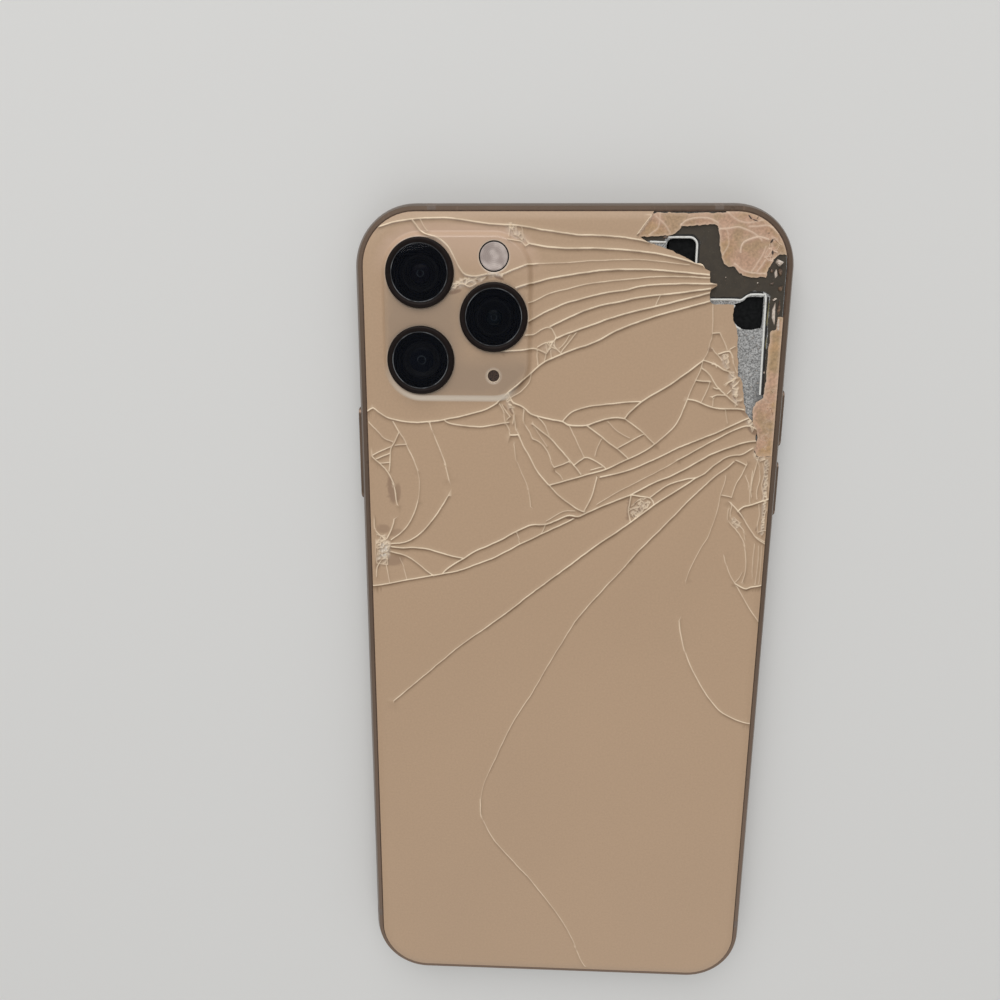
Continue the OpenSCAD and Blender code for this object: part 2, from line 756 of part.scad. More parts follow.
// Steel cage that the card tray slides into, open towards the band
module card_reader() {
    x0 = -in_x;
    color([0.68, 0.69, 0.70]) difference() {
        box(x0, x0 + reader_l + reader_wall, tray_at - reader_w/2, tray_at + reader_w/2,
            mid_z - reader_h/2, mid_z + reader_h/2);
        box(x0 - 1, x0 + reader_l, tray_at - reader_w/2 + reader_wall,
            tray_at + reader_w/2 - reader_wall, mid_z - reader_h/2 + reader_wall,
            mid_z + reader_h/2 - reader_wall);
    }
}

// Card tray: the cap is cut from the band's own section, and the tongue holds one card
module card_tray() {
    cap_x = -body_w/2 + cap_t;
    y = tray_at + tongue_shift;
    color([0.60, 0.50, 0.42]) difference() {
        union() {
            intersection() {
                band();
                mirror([1, 0, 0]) on_right(tray_at, -1, cap_t) stadium(tray_l, tray_h);
            }
            box(cap_x - 0.2, cap_x + tongue_l, y - tongue_w/2, y + tongue_w/2,
                mid_z - tongue_t/2, mid_z + tongue_t/2);
        }
        box(cap_x + tongue_l - 1 - card_l, cap_x + tongue_l - 1, y - card_w/2, y + card_w/2,
            mid_z - tongue_t/2 + card_ledge_t, body_t);
        box(cap_x + tongue_l - card_l, cap_x + tongue_l - 2, y - card_w/2 + 1, y + card_w/2 - 1,
            0, body_t);
        mirror([1, 0, 0]) on_right(tray_at - tray_l/2 + key_h/2, -1, cap_t + 1) circle(eject_r);
    }
}

// L-shaped cell that fills what the board leaves
module battery() {
    color([0.10, 0.10, 0.11]) {
        box(battery_x0, battery_x1, battery_y0, battery_y1, floor_z, stack_top);
        box(board_x0, battery_x0, battery_y0, leg_y1, floor_z, stack_top);
    }
}

module coil_ferrite() {
    color([0.14, 0.14, 0.15]) translate([0, 0, ferrite_z])
        cylinder(r = coil_r + 2.5, h = ferrite_t);
}

module charging_coil() {
    color([0.72, 0.42, 0.24]) tube(coil_r, coil_hole_r, back_seat, back_seat + coil_t);
}

// Black plastic block under the two openings of the plate
module antenna_carrier() {
    z0 = mid_z - 1;
    z1 = back_seat - air_gap;
    color([0.03, 0.03, 0.03]) intersection() {
        slab(band_wall + part_gap, z0, z1);
        union() {
            box(carrier_x0, carrier_x1, carrier_y0, sensor_y0, z0, z1);
            box(max(carrier_x0, sensor_x1 + part_gap), carrier_x1, carrier_y0, body_l/2, z0, z1);
        }
    }
}

module radio_module() {
    z0 = mid_z - 1.4;
    color([0.60, 0.61, 0.62]) {
        box(plateau_x1 + part_gap, battery_x1, upper_y0, carrier_y0 - part_gap, z0, stack_top);
        box(plateau_x1 + part_gap, carrier_x0 - part_gap, upper_y0, sensor_y0 - part_gap, z0, stack_top);
    }
}

// Strip that carries the front sensors, with a seat cut for each of them
module sensor_box(i, grow, z0, z1) {
    s = sensor_list[i];
    box(s[0] - s[1]/2 - grow, s[0] + s[1]/2 + grow, sensor_y0 + 1.6 - grow, in_y - 1.4 + grow, z0, z1);
}
module sensor_bracket() {
    color([0.40, 0.41, 0.42]) difference() {
        box(-16.8, 16.8, sensor_y0 + 0.3, in_y - 0.3, sensor_z + 0.4, sensor_z + 1.4);
        for (i = [0:2]) sensor_box(i, fine_gap, 0, body_t);
        box(-7, 7, sensor_y0 + 0.9, in_y - 0.9, 0, body_t);
    }
}
module front_sensor(i) {
    s = sensor_list[i];
    color([0.09, 0.09, 0.11]) {
        sensor_box(i, 0, sensor_z, mid_z + 0.6);
        translate([0, 0, sensor_z + 1.4]) linear_extrude(0.4)
            translate([s[0], (sensor_y0 + in_y)/2 + 0.1]) square([s[1] + 1, sensor_zone - 2.4], center = true);
    }
}

module earpiece() {
    color([0.12, 0.12, 0.12]) difference() {
        box(-6.9, 6.9, sensor_y0 + 1, in_y - 1, sensor_z, mid_z + 0.4);
        translate([0, in_y - sensor_zone/2 + 0.6, 0]) linear_extrude(sensor_z + 0.6) stadium(10, 0.9);
    }
}

// ---------- bottom end ----------

module loudspeaker() {
    z1 = back_seat - air_gap;
    color([0.08, 0.08, 0.08]) difference() {
        intersection() {
            slab(band_wall + part_gap, floor_z, z1);
            box(speaker_x0, in_x, -in_y, battery_y0 - part_gap, floor_z, z1);
        }
        for (i = [0:hole_count - 1]) translate([hole_x + i*hole_step, -in_y, mid_z])
            rotate([-90, 0, 0]) cylinder(r = hole_r + 0.1, h = 4);
    }
}

// Block with the two bottom microphones, behind the left row of holes
module microphone_block() {
    z1 = mid_z + 1.6;
    color([0.10, 0.10, 0.11]) difference() {
        intersection() {
            slab(band_wall + part_gap, floor_z, z1);
            box(-in_x, -speaker_x0, -in_y, haptic_y0 - part_gap, floor_z, z1);
        }
        for (i = [0:hole_count - 1]) translate([-hole_x - i*hole_step, -in_y, mid_z])
            rotate([-90, 0, 0]) cylinder(r = hole_r + 0.1, h = 3);
    }
}

// Strips of fine mesh behind the two rows of holes
module hole_meshes() {
    mid = hole_x + (hole_count - 1)*hole_step/2;
    w = (hole_count - 1)*hole_step + 2*hole_r + 1;
    color([0.20, 0.20, 0.20]) for (x = [-1, 1])
        box(x*mid - w/2, x*mid + w/2, -in_y, -in_y + mesh_t, mid_z - hole_r - 0.5, mid_z + hole_r + 0.5);
}

module haptic_housing() {
    z0 = floor_z;
    color([0.70, 0.70, 0.71]) difference() {
        box(haptic_x0, haptic_x0 + haptic_l, haptic_y0, haptic_y0 + haptic_w, z0, haptic_z1);
        box(haptic_x0 + haptic_wall, haptic_x0 + haptic_l - haptic_wall,
            haptic_y0 + haptic_wall, haptic_y0 + haptic_w - haptic_wall,
            z0 + haptic_wall, haptic_z1 - haptic_wall);
    }
}

module haptic_weight() {
    side = haptic_wall + haptic_travel + 0.6;
    gap = haptic_wall + air_gap;
    color([0.35, 0.35, 0.36])
        box(haptic_x0 + side, haptic_x0 + haptic_l - side, haptic_y0 + gap,
            haptic_y0 + haptic_w - gap, floor_z + gap, haptic_z1 - gap);
}

// Socket body behind the band's mouth, with a blind stadium-shaped well
module charging_socket() {
    color([0.13, 0.13, 0.14]) translate([0, port_back_y, mid_z]) rotate([90, 0, 0]) difference() {
        linear_extrude(port_l) stadium(port_w + 2*port_wall - 2*fine_gap, port_h + 2*port_wall - 2*fine_gap);
        translate([0, 0, port_l - port_depth]) linear_extrude(port_depth + 1) stadium(port_w, port_h);
    }
}

module bottom_screws() {
    color([0.62, 0.52, 0.44]) for (x = [-1, 1])
        translate([x*screw_x, -body_l/2 + 0.3, mid_z]) rotate([-90, 0, 0]) difference() {
            union() {
                cylinder(r = screw_r, h = 1.4);
                cylinder(r = screw_r*0.7, h = screw_l);
            }
            translate([0, 0, -0.1]) cylinder(r = screw_r*0.5, h = 0.5, $fn = 5);
        }
}

// ---------- keys and switches ----------

// Slot for a key in the right side of the band: the cap's way, and a pocket for its flange
module key_slot(y, l) {
    on_right(y, -1, band_wall + 1) stadium(l + 2*run_gap, key_h + 2*run_gap);
    on_right(y, shoulder_in, band_wall + 1)
        stadium(l + 2*flange_grow + 2*run_gap, key_h + 2*flange_rise + 2*run_gap);
}

// Key on the right side: cap with an eased edge, flange and plunger
module key(y, l) {
    on_right(y, -key_proud + 0.12, flange_face + flange_t) stadium(l, key_h);
    on_right(y, -key_proud, 0) stadium(l - 0.24, key_h - 0.24);
    on_right(y, flange_face, flange_face + flange_t)
        stadium(l + 2*flange_grow, key_h + 2*flange_rise);
    on_right(y, flange_face, plunger_end) circle(plunger_r);
}

// Bracket inside the right side: y0 to y1, with lugs to the band and a dome at each key
module switch_bracket(y0, y1, domes, lugs) {
    on_right((y0 + y1)/2, bracket_face, switch_back) square([y1 - y0, bracket_h], center = true);
    for (y = domes) on_right(y, dome_face, bracket_face) circle(dome_r);
    for (y = lugs) on_right(y, band_wall, bracket_face) square([lug_l, bracket_h], center = true);
}

module side_key() {
    color([0.62, 0.52, 0.44]) mirror([1, 0, 0]) key(side_at, side_key_l);
}

module side_switch() {
    half = side_key_l/2 + flange_grow + lug_l + 0.6;
    color([0.30, 0.30, 0.31]) mirror([1, 0, 0])
        switch_bracket(side_at - half, side_at + half, [side_at],
                       [side_at - half + lug_l/2, side_at + half - lug_l/2]);
}

module right_switches() {
    low = volume_down_at - volume_key_l/2 - flange_grow - lug_l - 0.6;
    high = mute_at + mute_l/2 + flange_grow + lug_l + 0.6;
    between = (volume_up_at + volume_down_at)/2;
    above = volume_up_at + volume_key_l/2 + flange_grow + 0.6 + lug_l/2;
    color([0.30, 0.30, 0.31])
        switch_bracket(low, high, [volume_down_at, volume_up_at],
                       [low + lug_l/2, between, above, high - lug_l/2]);
}

// Lever of the mute switch, at the screen end of its slot
module mute_lever() {
    rest = mute_low - mid_z + mute_h/2;
    flange_rest = mute_flange_low - mid_z + mute_flange_h/2;
    color([0.62, 0.52, 0.44]) {
        on_right(mute_at, 0.1, shoulder_in + seat_gap + mute_plate)
            translate([0, rest]) square([mute_l, mute_h], center = true);
        on_right(mute_at, shoulder_in + seat_gap, shoulder_in + seat_gap + mute_plate)
            translate([0, flange_rest]) square([mute_l + 2*flange_grow, mute_flange_h], center = true);
    }
}

display_glass();
display_panel();
display_shield();
display_bezel();
display_seal();
frame_top();
frame_left();
frame_right();
frame_bottom();
antenna_breaks();
mid_plate();
bond_film();
opening_trims();
back_bezel();
back_glass();
remnant(corner_layer);  // corner_remnant
remnant(edge_layer);  // edge_remnant
camera_ring(wide_at);  // camera_ring_wide
camera_ring(tele_at);  // camera_ring_tele
camera_ring(ultrawide_at);  // camera_ring_ultrawide
camera_window(wide_at);  // camera_window_wide
camera_window(tele_at);  // camera_window_tele
camera_window(ultrawide_at);  // camera_window_ultrawide
camera_module(wide_at);  // camera_module_wide
camera_module(tele_at);  // camera_module_tele
camera_module(ultrawide_at);  // camera_module_ultrawide
lens_barrel(wide_at);  // lens_barrel_wide
lens_barrel(tele_at);  // lens_barrel_tele
lens_barrel(ultrawide_at);  // lens_barrel_ultrawide
camera_bracket();
flash_window();
flash_module();
rear_mic_mesh();
logic_board();
board_shield();
card_reader();
card_tray();
battery();
charging_coil();
coil_ferrite();
antenna_carrier();
radio_module();
sensor_bracket();
front_sensor(1);  // front_camera
front_sensor(0);  // infrared_camera
front_sensor(2);  // dot_projector
earpiece();
loudspeaker();
microphone_block();
hole_meshes();
haptic_housing();
haptic_weight();
charging_socket();
bottom_screws();
side_key();
side_switch();
color([0.62, 0.52, 0.44]) key(volume_up_at, volume_key_l);  // volume_up_key
color([0.62, 0.52, 0.44]) key(volume_down_at, volume_key_l);  // volume_down_key
right_switches();
mute_lever();
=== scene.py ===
"""Looks for a slab phone with a shattered glass back, lying on its screen."""
import math

import bmesh
import bpy
import numpy as np
from bpy.props import FloatProperty, FloatVectorProperty, IntProperty, PointerProperty
from mathutils import Matrix, Vector, geometry


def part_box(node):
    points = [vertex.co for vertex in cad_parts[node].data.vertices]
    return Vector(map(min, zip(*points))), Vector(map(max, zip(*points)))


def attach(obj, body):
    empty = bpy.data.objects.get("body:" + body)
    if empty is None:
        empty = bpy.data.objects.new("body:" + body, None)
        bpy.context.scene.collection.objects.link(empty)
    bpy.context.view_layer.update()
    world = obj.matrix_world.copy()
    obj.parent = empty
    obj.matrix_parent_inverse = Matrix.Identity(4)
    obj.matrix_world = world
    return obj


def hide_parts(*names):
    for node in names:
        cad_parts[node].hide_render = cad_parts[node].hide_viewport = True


bl_info = {
    "name": "Shattered Phone",
    "version": (1, 0, 0),
    "blender": (4, 5, 0),
    "location": "View3D > Sidebar > Phone",
    "description": "Builds the looks of a slab phone with a shattered glass back",
    "category": "Add Mesh",
}

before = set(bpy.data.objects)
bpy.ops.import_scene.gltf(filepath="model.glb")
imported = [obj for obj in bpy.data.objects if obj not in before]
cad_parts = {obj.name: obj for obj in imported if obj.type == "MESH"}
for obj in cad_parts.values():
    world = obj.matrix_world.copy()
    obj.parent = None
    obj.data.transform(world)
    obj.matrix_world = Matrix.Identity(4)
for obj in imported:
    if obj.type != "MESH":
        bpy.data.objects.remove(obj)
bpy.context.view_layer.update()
MM = 0.001
FIXED = "phone"                      # the body that every piece but the moving ones rides on
# Each camera: colour of its lens coat, radius of its front lens, and the body that its lens rides on
CAMERAS = {"wide": ((0.010, 0.016, 0.035), 2.35, "wide_barrel"),
           "tele": ((0.016, 0.012, 0.030), 1.75, "tele_barrel"),
           "ultrawide": ((0.008, 0.020, 0.026), 1.45, FIXED)}


def box_mm(node):
    """Lowest and highest corners of a CAD node, in millimetres."""
    low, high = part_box(node)
    return np.array(low) / MM, np.array(high) / MM


def disc_mm(node):
    """Middle, radius, foot and top of a round upright CAD node, in millimetres."""
    low, high = box_mm(node)
    return (low[:2] + high[:2]) / 2, (high[0] - low[0]) / 2, low[2], high[2]


def scaled(colour, factor):
    """A colour made darker or lighter."""
    return tuple(c * factor for c in colour)


GLASS_LOW, GLASS_HIGH = box_mm("back_glass")
HALF_W, HALF_L, PLATEAU_Z = GLASS_HIGH
GLASS_CORNER = 9.35
PLATEAU = (-33.9, 44.4, -6.8, 74, 7.1)       # its sides and corner radius
SHOULDER = 1.25                              # width of the plateau's rounded shoulder
SHOULDER_LINES = (-0.05, 0.12, 0.3, 0.5, 0.7, 0.9, 1.1, 1.3)   # where the mesh has lines across it
GRIND = 1.7                                  # width of the ground edge
GRIND_LINES = (0.35, 0.7, 1.1, 1.6)          # where the mesh has lines across it
HOLE_RIM = 0.18                              # width of the bevel round a hole
HOLE_DROP = 0.08                             # how much lower the glass is at that rim


# ---------------------------------------------------------------- settings

def hue(name, description, value):
    """A colour setting."""
    return FloatVectorProperty(name=name, description=description, subtype="COLOR", size=3, default=value)


def length(name, description, value):
    """A length setting, from millimetres."""
    return FloatProperty(name=name, description=description, unit="LENGTH", default=value * MM)


def spot(name, description, x, y, z):
    """A place setting, from millimetres."""
    return FloatVectorProperty(name=name, description=description, subtype="TRANSLATION", size=3,
                               default=(x * MM, y * MM, z * MM))


class GlassSettings(bpy.types.PropertyGroup):
    """Sizes and colours of the cracked back."""
    colour: hue("Glass colour", "Colour under the back glass", (0.453, 0.309, 0.198))
    # the crack's pale colour, painted as a highlight on its side towards the light
    crack_and_highlight_colour: hue("Crack colour", "Colour of a crack's bright side", (0.96, 0.79, 0.585))
    # painted shade on a crack's side away from the light
    shade_colour: hue("Shade colour", "Colour beside a crack", (0.15, 0.084, 0.037))
    plateau_height: length("Plateau height", "Height of the camera plateau", 1.0)
    edge_drop: length("Edge drop", "How far the ground edge falls away", 0.35)
    crack_width: length("Crack width", "Width of a strong crack's dark line", 0.13)
    crack_depth: length("Crack depth", "Depth of a strong crack", 0.05)
    seed: IntProperty(name="Seed", description="Seed for the small shards", default=7)


class BandSettings(bpy.types.PropertyGroup):
    """Finish of the metal band and the keys."""
    colour: hue("Band colour", "Colour of the bronze-gold steel", (0.18, 0.129, 0.097))
    roughness: FloatProperty(name="Band roughness", description="Roughness of the polished steel",
                             subtype="FACTOR", min=0, max=1, default=0.3)


class CameraSettings(bpy.types.PropertyGroup):
    """Sizes and colours of the rear cameras."""
    ring_colour: hue("Ring colour", "Colour of the trim rings", (0.006, 0.004, 0.0035))
    window_colour: hue("Window colour", "Colour of the coated windows", (0.0015, 0.002, 0.0035))
    steps: IntProperty(name="Steps", description="Steps round a turned piece", default=96)


class DamageSettings(bpy.types.PropertyGroup):
    """Colours of what the broken corner lays bare."""
    layer_colour: hue("Layer colour", "Colour of the spalled layer", (0.428, 0.270, 0.142))
    film_colour: hue("Film colour", "Colour of the bonding film", (0.043, 0.033, 0.0215))
    plate_colour: hue("Plate colour", "Colour of the bare plate", (0.335, 0.335, 0.33))
    lip_colour: hue("Lip colour", "Colour of the pale moulded edges", (0.72, 0.72, 0.69))


class StageSettings(bpy.types.PropertyGroup):
    """Camera, floor and lamps."""
    eye: spot("Eye", "Place of the camera", -7.34, 56, 144.9)
    aim: spot("Aim", "Point the camera looks at", -12.55, 26.17, 8.1)
    roll: FloatProperty(name="Roll", description="Turn of the camera about its own axis",
                        subtype="ANGLE", default=math.radians(0.31))
    focal: FloatProperty(name="Focal length", description="Focal length in millimetres", default=27.0)
    floor_colour: hue("Floor colour", "Colour of the floor", (0.70, 0.70, 0.69))
    key_power: FloatProperty(name="Key power", description="Power of the main lamp in watts", default=11.0)
    sky: FloatProperty(name="Sky", description="Strength of the light from all round", default=0.45)


# ---------------------------------------------------------------- shader expressions

class Wire:
    """One output of a shader graph. Arithmetic on it adds Math nodes."""

    def __init__(self, graph, socket):
        self.graph = graph
        self.socket = socket

    def clamp(self):
        """The value held between 0 and 1."""
        return self.graph.node("ShaderNodeClamp", {0: self})

    def ramp(self, low, high):
        """0 at low and 1 at high, smoothly between."""
        return self.graph.node("ShaderNodeMapRange", {0: self, 1: low, 2: high, 3: 0.0, 4: 1.0},
                               interpolation_type="SMOOTHSTEP")


def arithmetic(operation, reflected):
    """The method behind an arithmetic sign."""
    def method(self, other):
        a, b = (other, self) if reflected else (self, other)
        return self.graph.node("ShaderNodeMath", {0: a, 1: b}, operation=operation)
    return method


for sign, operation in (("add", "ADD"), ("sub", "SUBTRACT"), ("mul", "MULTIPLY"), ("truediv", "DIVIDE"),
                        ("pow", "POWER")):
    setattr(Wire, f"__{sign}__", arithmetic(operation, False))
    setattr(Wire, f"__r{sign}__", arithmetic(operation, True))


class Graph:
    """A material's node tree around one Principled shader."""

    def __init__(self, name):
        self.material = bpy.data.materials.new(name)
        self.material.use_nodes = True
        self.tree = self.material.node_tree
        self.shader = self.tree.nodes["Principled BSDF"]

    def node(self, kind, values=None, out=0, stops=None, **settings):
        """Adds a node: settings and ramp stops first, then the values or links of its inputs."""
        new = self.tree.nodes.new(kind)
        for key, value in settings.items():
            setattr(new, key, value)
        if stops:
            ramp = new.color_ramp
            while len(ramp.elements) < len(stops):
                ramp.elements.new(1.0)
            for element, (place, shade) in zip(ramp.elements, stops):
                element.position = place
                element.color = (shade, shade, shade, 1) if isinstance(shade, float) else (*shade, 1)
        for key, value in (values or {}).items():
            self.set(new.inputs[key], value)
        return Wire(self, new.outputs[out])

    def set(self, socket, value):
        """Links a wire to an input, or writes a plain value to it."""
        if isinstance(value, Wire):
            self.tree.links.new(value.socket, socket)
        elif socket.type == "RGBA":
            socket.default_value = (*value[:3], 1)
        else:
            socket.default_value = value

    def place(self, scale=1.0, offset=(0.0, 0.0, 0.0)):
        """The point on the piece in millimetres, times a scale."""
        where = self.node("ShaderNodeTexCoord", out="Object")
        return self.node("ShaderNodeMapping", {0: where, 1: offset, 3: (scale / MM,) * 3})

    def noise(self, scale, detail=3.0, rough=0.55, stretch=None, seed=0.0):
        """Cloudy noise from 0 to 1, with this many waves in a millimetre."""
        where = self.place(scale, (seed, seed, seed))
        if stretch:
            where = self.node("ShaderNodeMapping", {0: where, 3: stretch})
        return self.node("ShaderNodeTexNoise", {0: where, "Scale": 1.0, "Detail": detail, "Roughness": rough})

    def cells(self, scale, feature="F1", out="Distance", seed=0.0):
        """Cell pattern with this many cells in a millimetre."""
        return self.node("ShaderNodeTexVoronoi", {0: self.place(scale, (seed, 0, 0)), "Scale": 1.0},
                         out=out, feature=feature)

    def mask(self, name):
        """A value painted on the mesh when it was made."""
        return self.node("ShaderNodeAttribute", out="Fac", attribute_name=name)

    def mix(self, a, b, factor, blend="MIX"):
        """Colour a turning into colour b as factor goes from 0 to 1."""
        return self.node("ShaderNodeMix", {0: factor, 6: a, 7: b}, out=2, data_type="RGBA",
                         blend_type=blend)

    def shade(self, colour, amount, spread):
        """A colour made darker and lighter by a value around 0.5."""
        return self.mix(scaled(colour, 1 - spread), scaled(colour, 1 + spread), amount)

    def shade_by(self, colour, amount, spread):
        """A colour that is already a wire, made darker and lighter by a value around 0.5."""
        grey = self.mix((0.5 - spread,) * 3, (0.5 + spread,) * 3, amount)
        return self.mix(colour, grey, 1.0, blend="OVERLAY")

    def bump(self, height, strength=0.3, depth=0.05):
        """Normals of small relief, depth in millimetres."""
        return self.node("ShaderNodeBump", {"Strength": strength, "Distance": depth * MM, "Height": height})

    def finish(self, **inputs):
        """Writes the shader's inputs and returns the material."""
        for key, value in inputs.items():
            self.set(self.shader.inputs[key.replace("_", " ").title().replace("Ior", "IOR")], value)
        return self.material


# ---------------------------------------------------------------- outlines

def rounded_box(x0, y0, x1, y1, r, turn=12, step=None):
    """Points round a rounded rectangle, anticlockwise."""
    points = []
    corners = ((x1 - r, y1 - r, 0), (x0 + r, y1 - r, 90), (x0 + r, y0 + r, 180), (x1 - r, y0 + r, 270))
    for cx, cy, start in corners:
        for i in range(turn + 1):
            angle = math.radians(start + 90 * i / turn)
            points.append((cx + r * math.cos(angle), cy + r * math.sin(angle)))
    return even(points + points[:1], step)[:-1] if step else np.array(points)


def circle(centre, r, steps=64):
    """Points round a circle, anticlockwise."""
    angle = np.linspace(0, 2 * math.pi, steps, endpoint=False)
    return np.stack([centre[0] + r * np.cos(angle), centre[1] + r * np.sin(angle)], 1)


def even(points, step):
    """The same line with no stretch longer than step."""
    points = np.asarray(points, float)
    out = []
    for a, b in zip(points, points[1:]):
        n = max(1, math.ceil(np.linalg.norm(b - a) / step))
        out.extend(a + (b - a) * i / n for i in range(n))
    out.append(points[-1])
    return np.array(out)


def smooth(points, step):
    """A curve through the points, with a new point about every step."""
    p = np.asarray(points, float)
    if len(p) == 2:
        return even(p, step)
    ends = np.vstack([2 * p[0] - p[1], p, 2 * p[-1] - p[-2]])
    out = []
    for a, b, c, d in zip(ends, ends[1:], ends[2:], ends[3:]):
        n = max(1, math.ceil(np.linalg.norm(c - b) / step))
        t = np.linspace(0, 1, n, endpoint=False)[:, None]
        out.append(0.5 * (2 * b + (c - a) * t + (2 * a - 5 * b + 4 * c - d) * t ** 2
                          + (3 * b - a - 3 * c + d) * t ** 3))
    return np.vstack(out + [p[-1:]])


def ragged(points, step, amount, rng, closed=False):
    """A broken edge: the line cut into short stretches and shaken sideways."""
    p = list(points) + ([points[0]] if closed else [])
    line = even(p, step)
    push = rng.normal(0, amount, line.shape)
    push[0] = push[-1] = 0
    line = line + push
    return line[:-1] if closed else line


def box_distance(p, x0, y0, x1, y1, r):
    """Distance from a rounded rectangle's edge, below 0 inside it."""
    half = np.array([(x1 - x0) / 2 - r, (y1 - y0) / 2 - r])
    q = np.abs(p - np.array([(x0 + x1) / 2, (y0 + y1) / 2])) - half
    return np.linalg.norm(np.maximum(q, 0), axis=1) + np.minimum(q.max(1), 0) - r


def inside(loop, p):
    """Which of the points lie inside a closed loop."""
    loop = np.asarray(loop)
    hit = np.zeros(len(p), bool)
    for (x0, y0), (x1, y1) in zip(loop, np.roll(loop, -1, 0)):
        if y0 == y1:
            continue
        crosses = (y0 > p[:, 1]) != (y1 > p[:, 1])
        hit ^= crosses & (p[:, 0] < (x1 - x0) * (p[:, 1] - y0) / (y1 - y0) + x0)
    return hit


def face_up(p, tris):
    """The triangles, all anticlockwise seen from above, and their areas."""
    a, b, c = (p[tris[:, i]] for i in range(3))
    area = 0.5 * ((b - a)[:, 0] * (c - a)[:, 1] - (b - a)[:, 1] * (c - a)[:, 0])
    tris[area < 0] = tris[area < 0][:, ::-1]
    return tris, np.abs(area)


def nearest_on(line, p):
    """Distance from each point to a line, and the way from the line to the point."""
    a = line[:-1][None]
    d = (line[1:] - line[:-1])[None]
    t = ((p[:, None] - a) * d).sum(2) / np.maximum((d * d).sum(2), 1e-12)
    away = p[:, None] - (a + d * np.clip(t, 0, 1)[..., None])
    size = np.linalg.norm(away, axis=2)
    best = size.argmin(1)
    rows = np.arange(len(p))
    return size[rows, best], away[rows, best]


# ---------------------------------------------------------------- thin sheets with cracks

SHADE_WAY = np.array([0.30, -0.95])     # the side of a crack that gets the painted shade, away from the light
# Across a crack, in its own widths, from its side with the painted highlight to its side with the painted
# shade
ACROSS = (-8, -4.5, -1.9, -0.9, 0, 0.9, 2, 4, 7)
FOLLOWED = slice(2, 7)                  # the steps across that the mesh has edges along
FINE = (-0.9, 0.9)                      # the same for a crack between small shards
FINE_WIDTH, FINE_DEPTH = 0.09, 0.05     # width and depth of such a crack
SIDESTEP = 0.04                         # how far a long crack wanders off its curve
PAINT_FADE = 0.7                        # power that lifts the paint of weak cracks
TINT = 0.6                              # how much the small shards differ in brightness
# A crack's values at those steps, and how much of each is left where the crack runs along the light: line and
# glow are a painted highlight, shade is painted shade, groove is the real depth
PROFILES = {"line": ((0, 0, 0, 1, 0.5, 0, 0, 0, 0), 0.5), "glow": ((0, 0.25, 0.6, 1, 0.4, 0, 0, 0, 0), 0.2),
            "shade": ((0, 0, 0, 0, 0.5, 1, 0.6, 0.2, 0), 0.1), "groove": ((0, 0, 0, 0.3, 1, 0.5, 0, 0, 0), 1)}


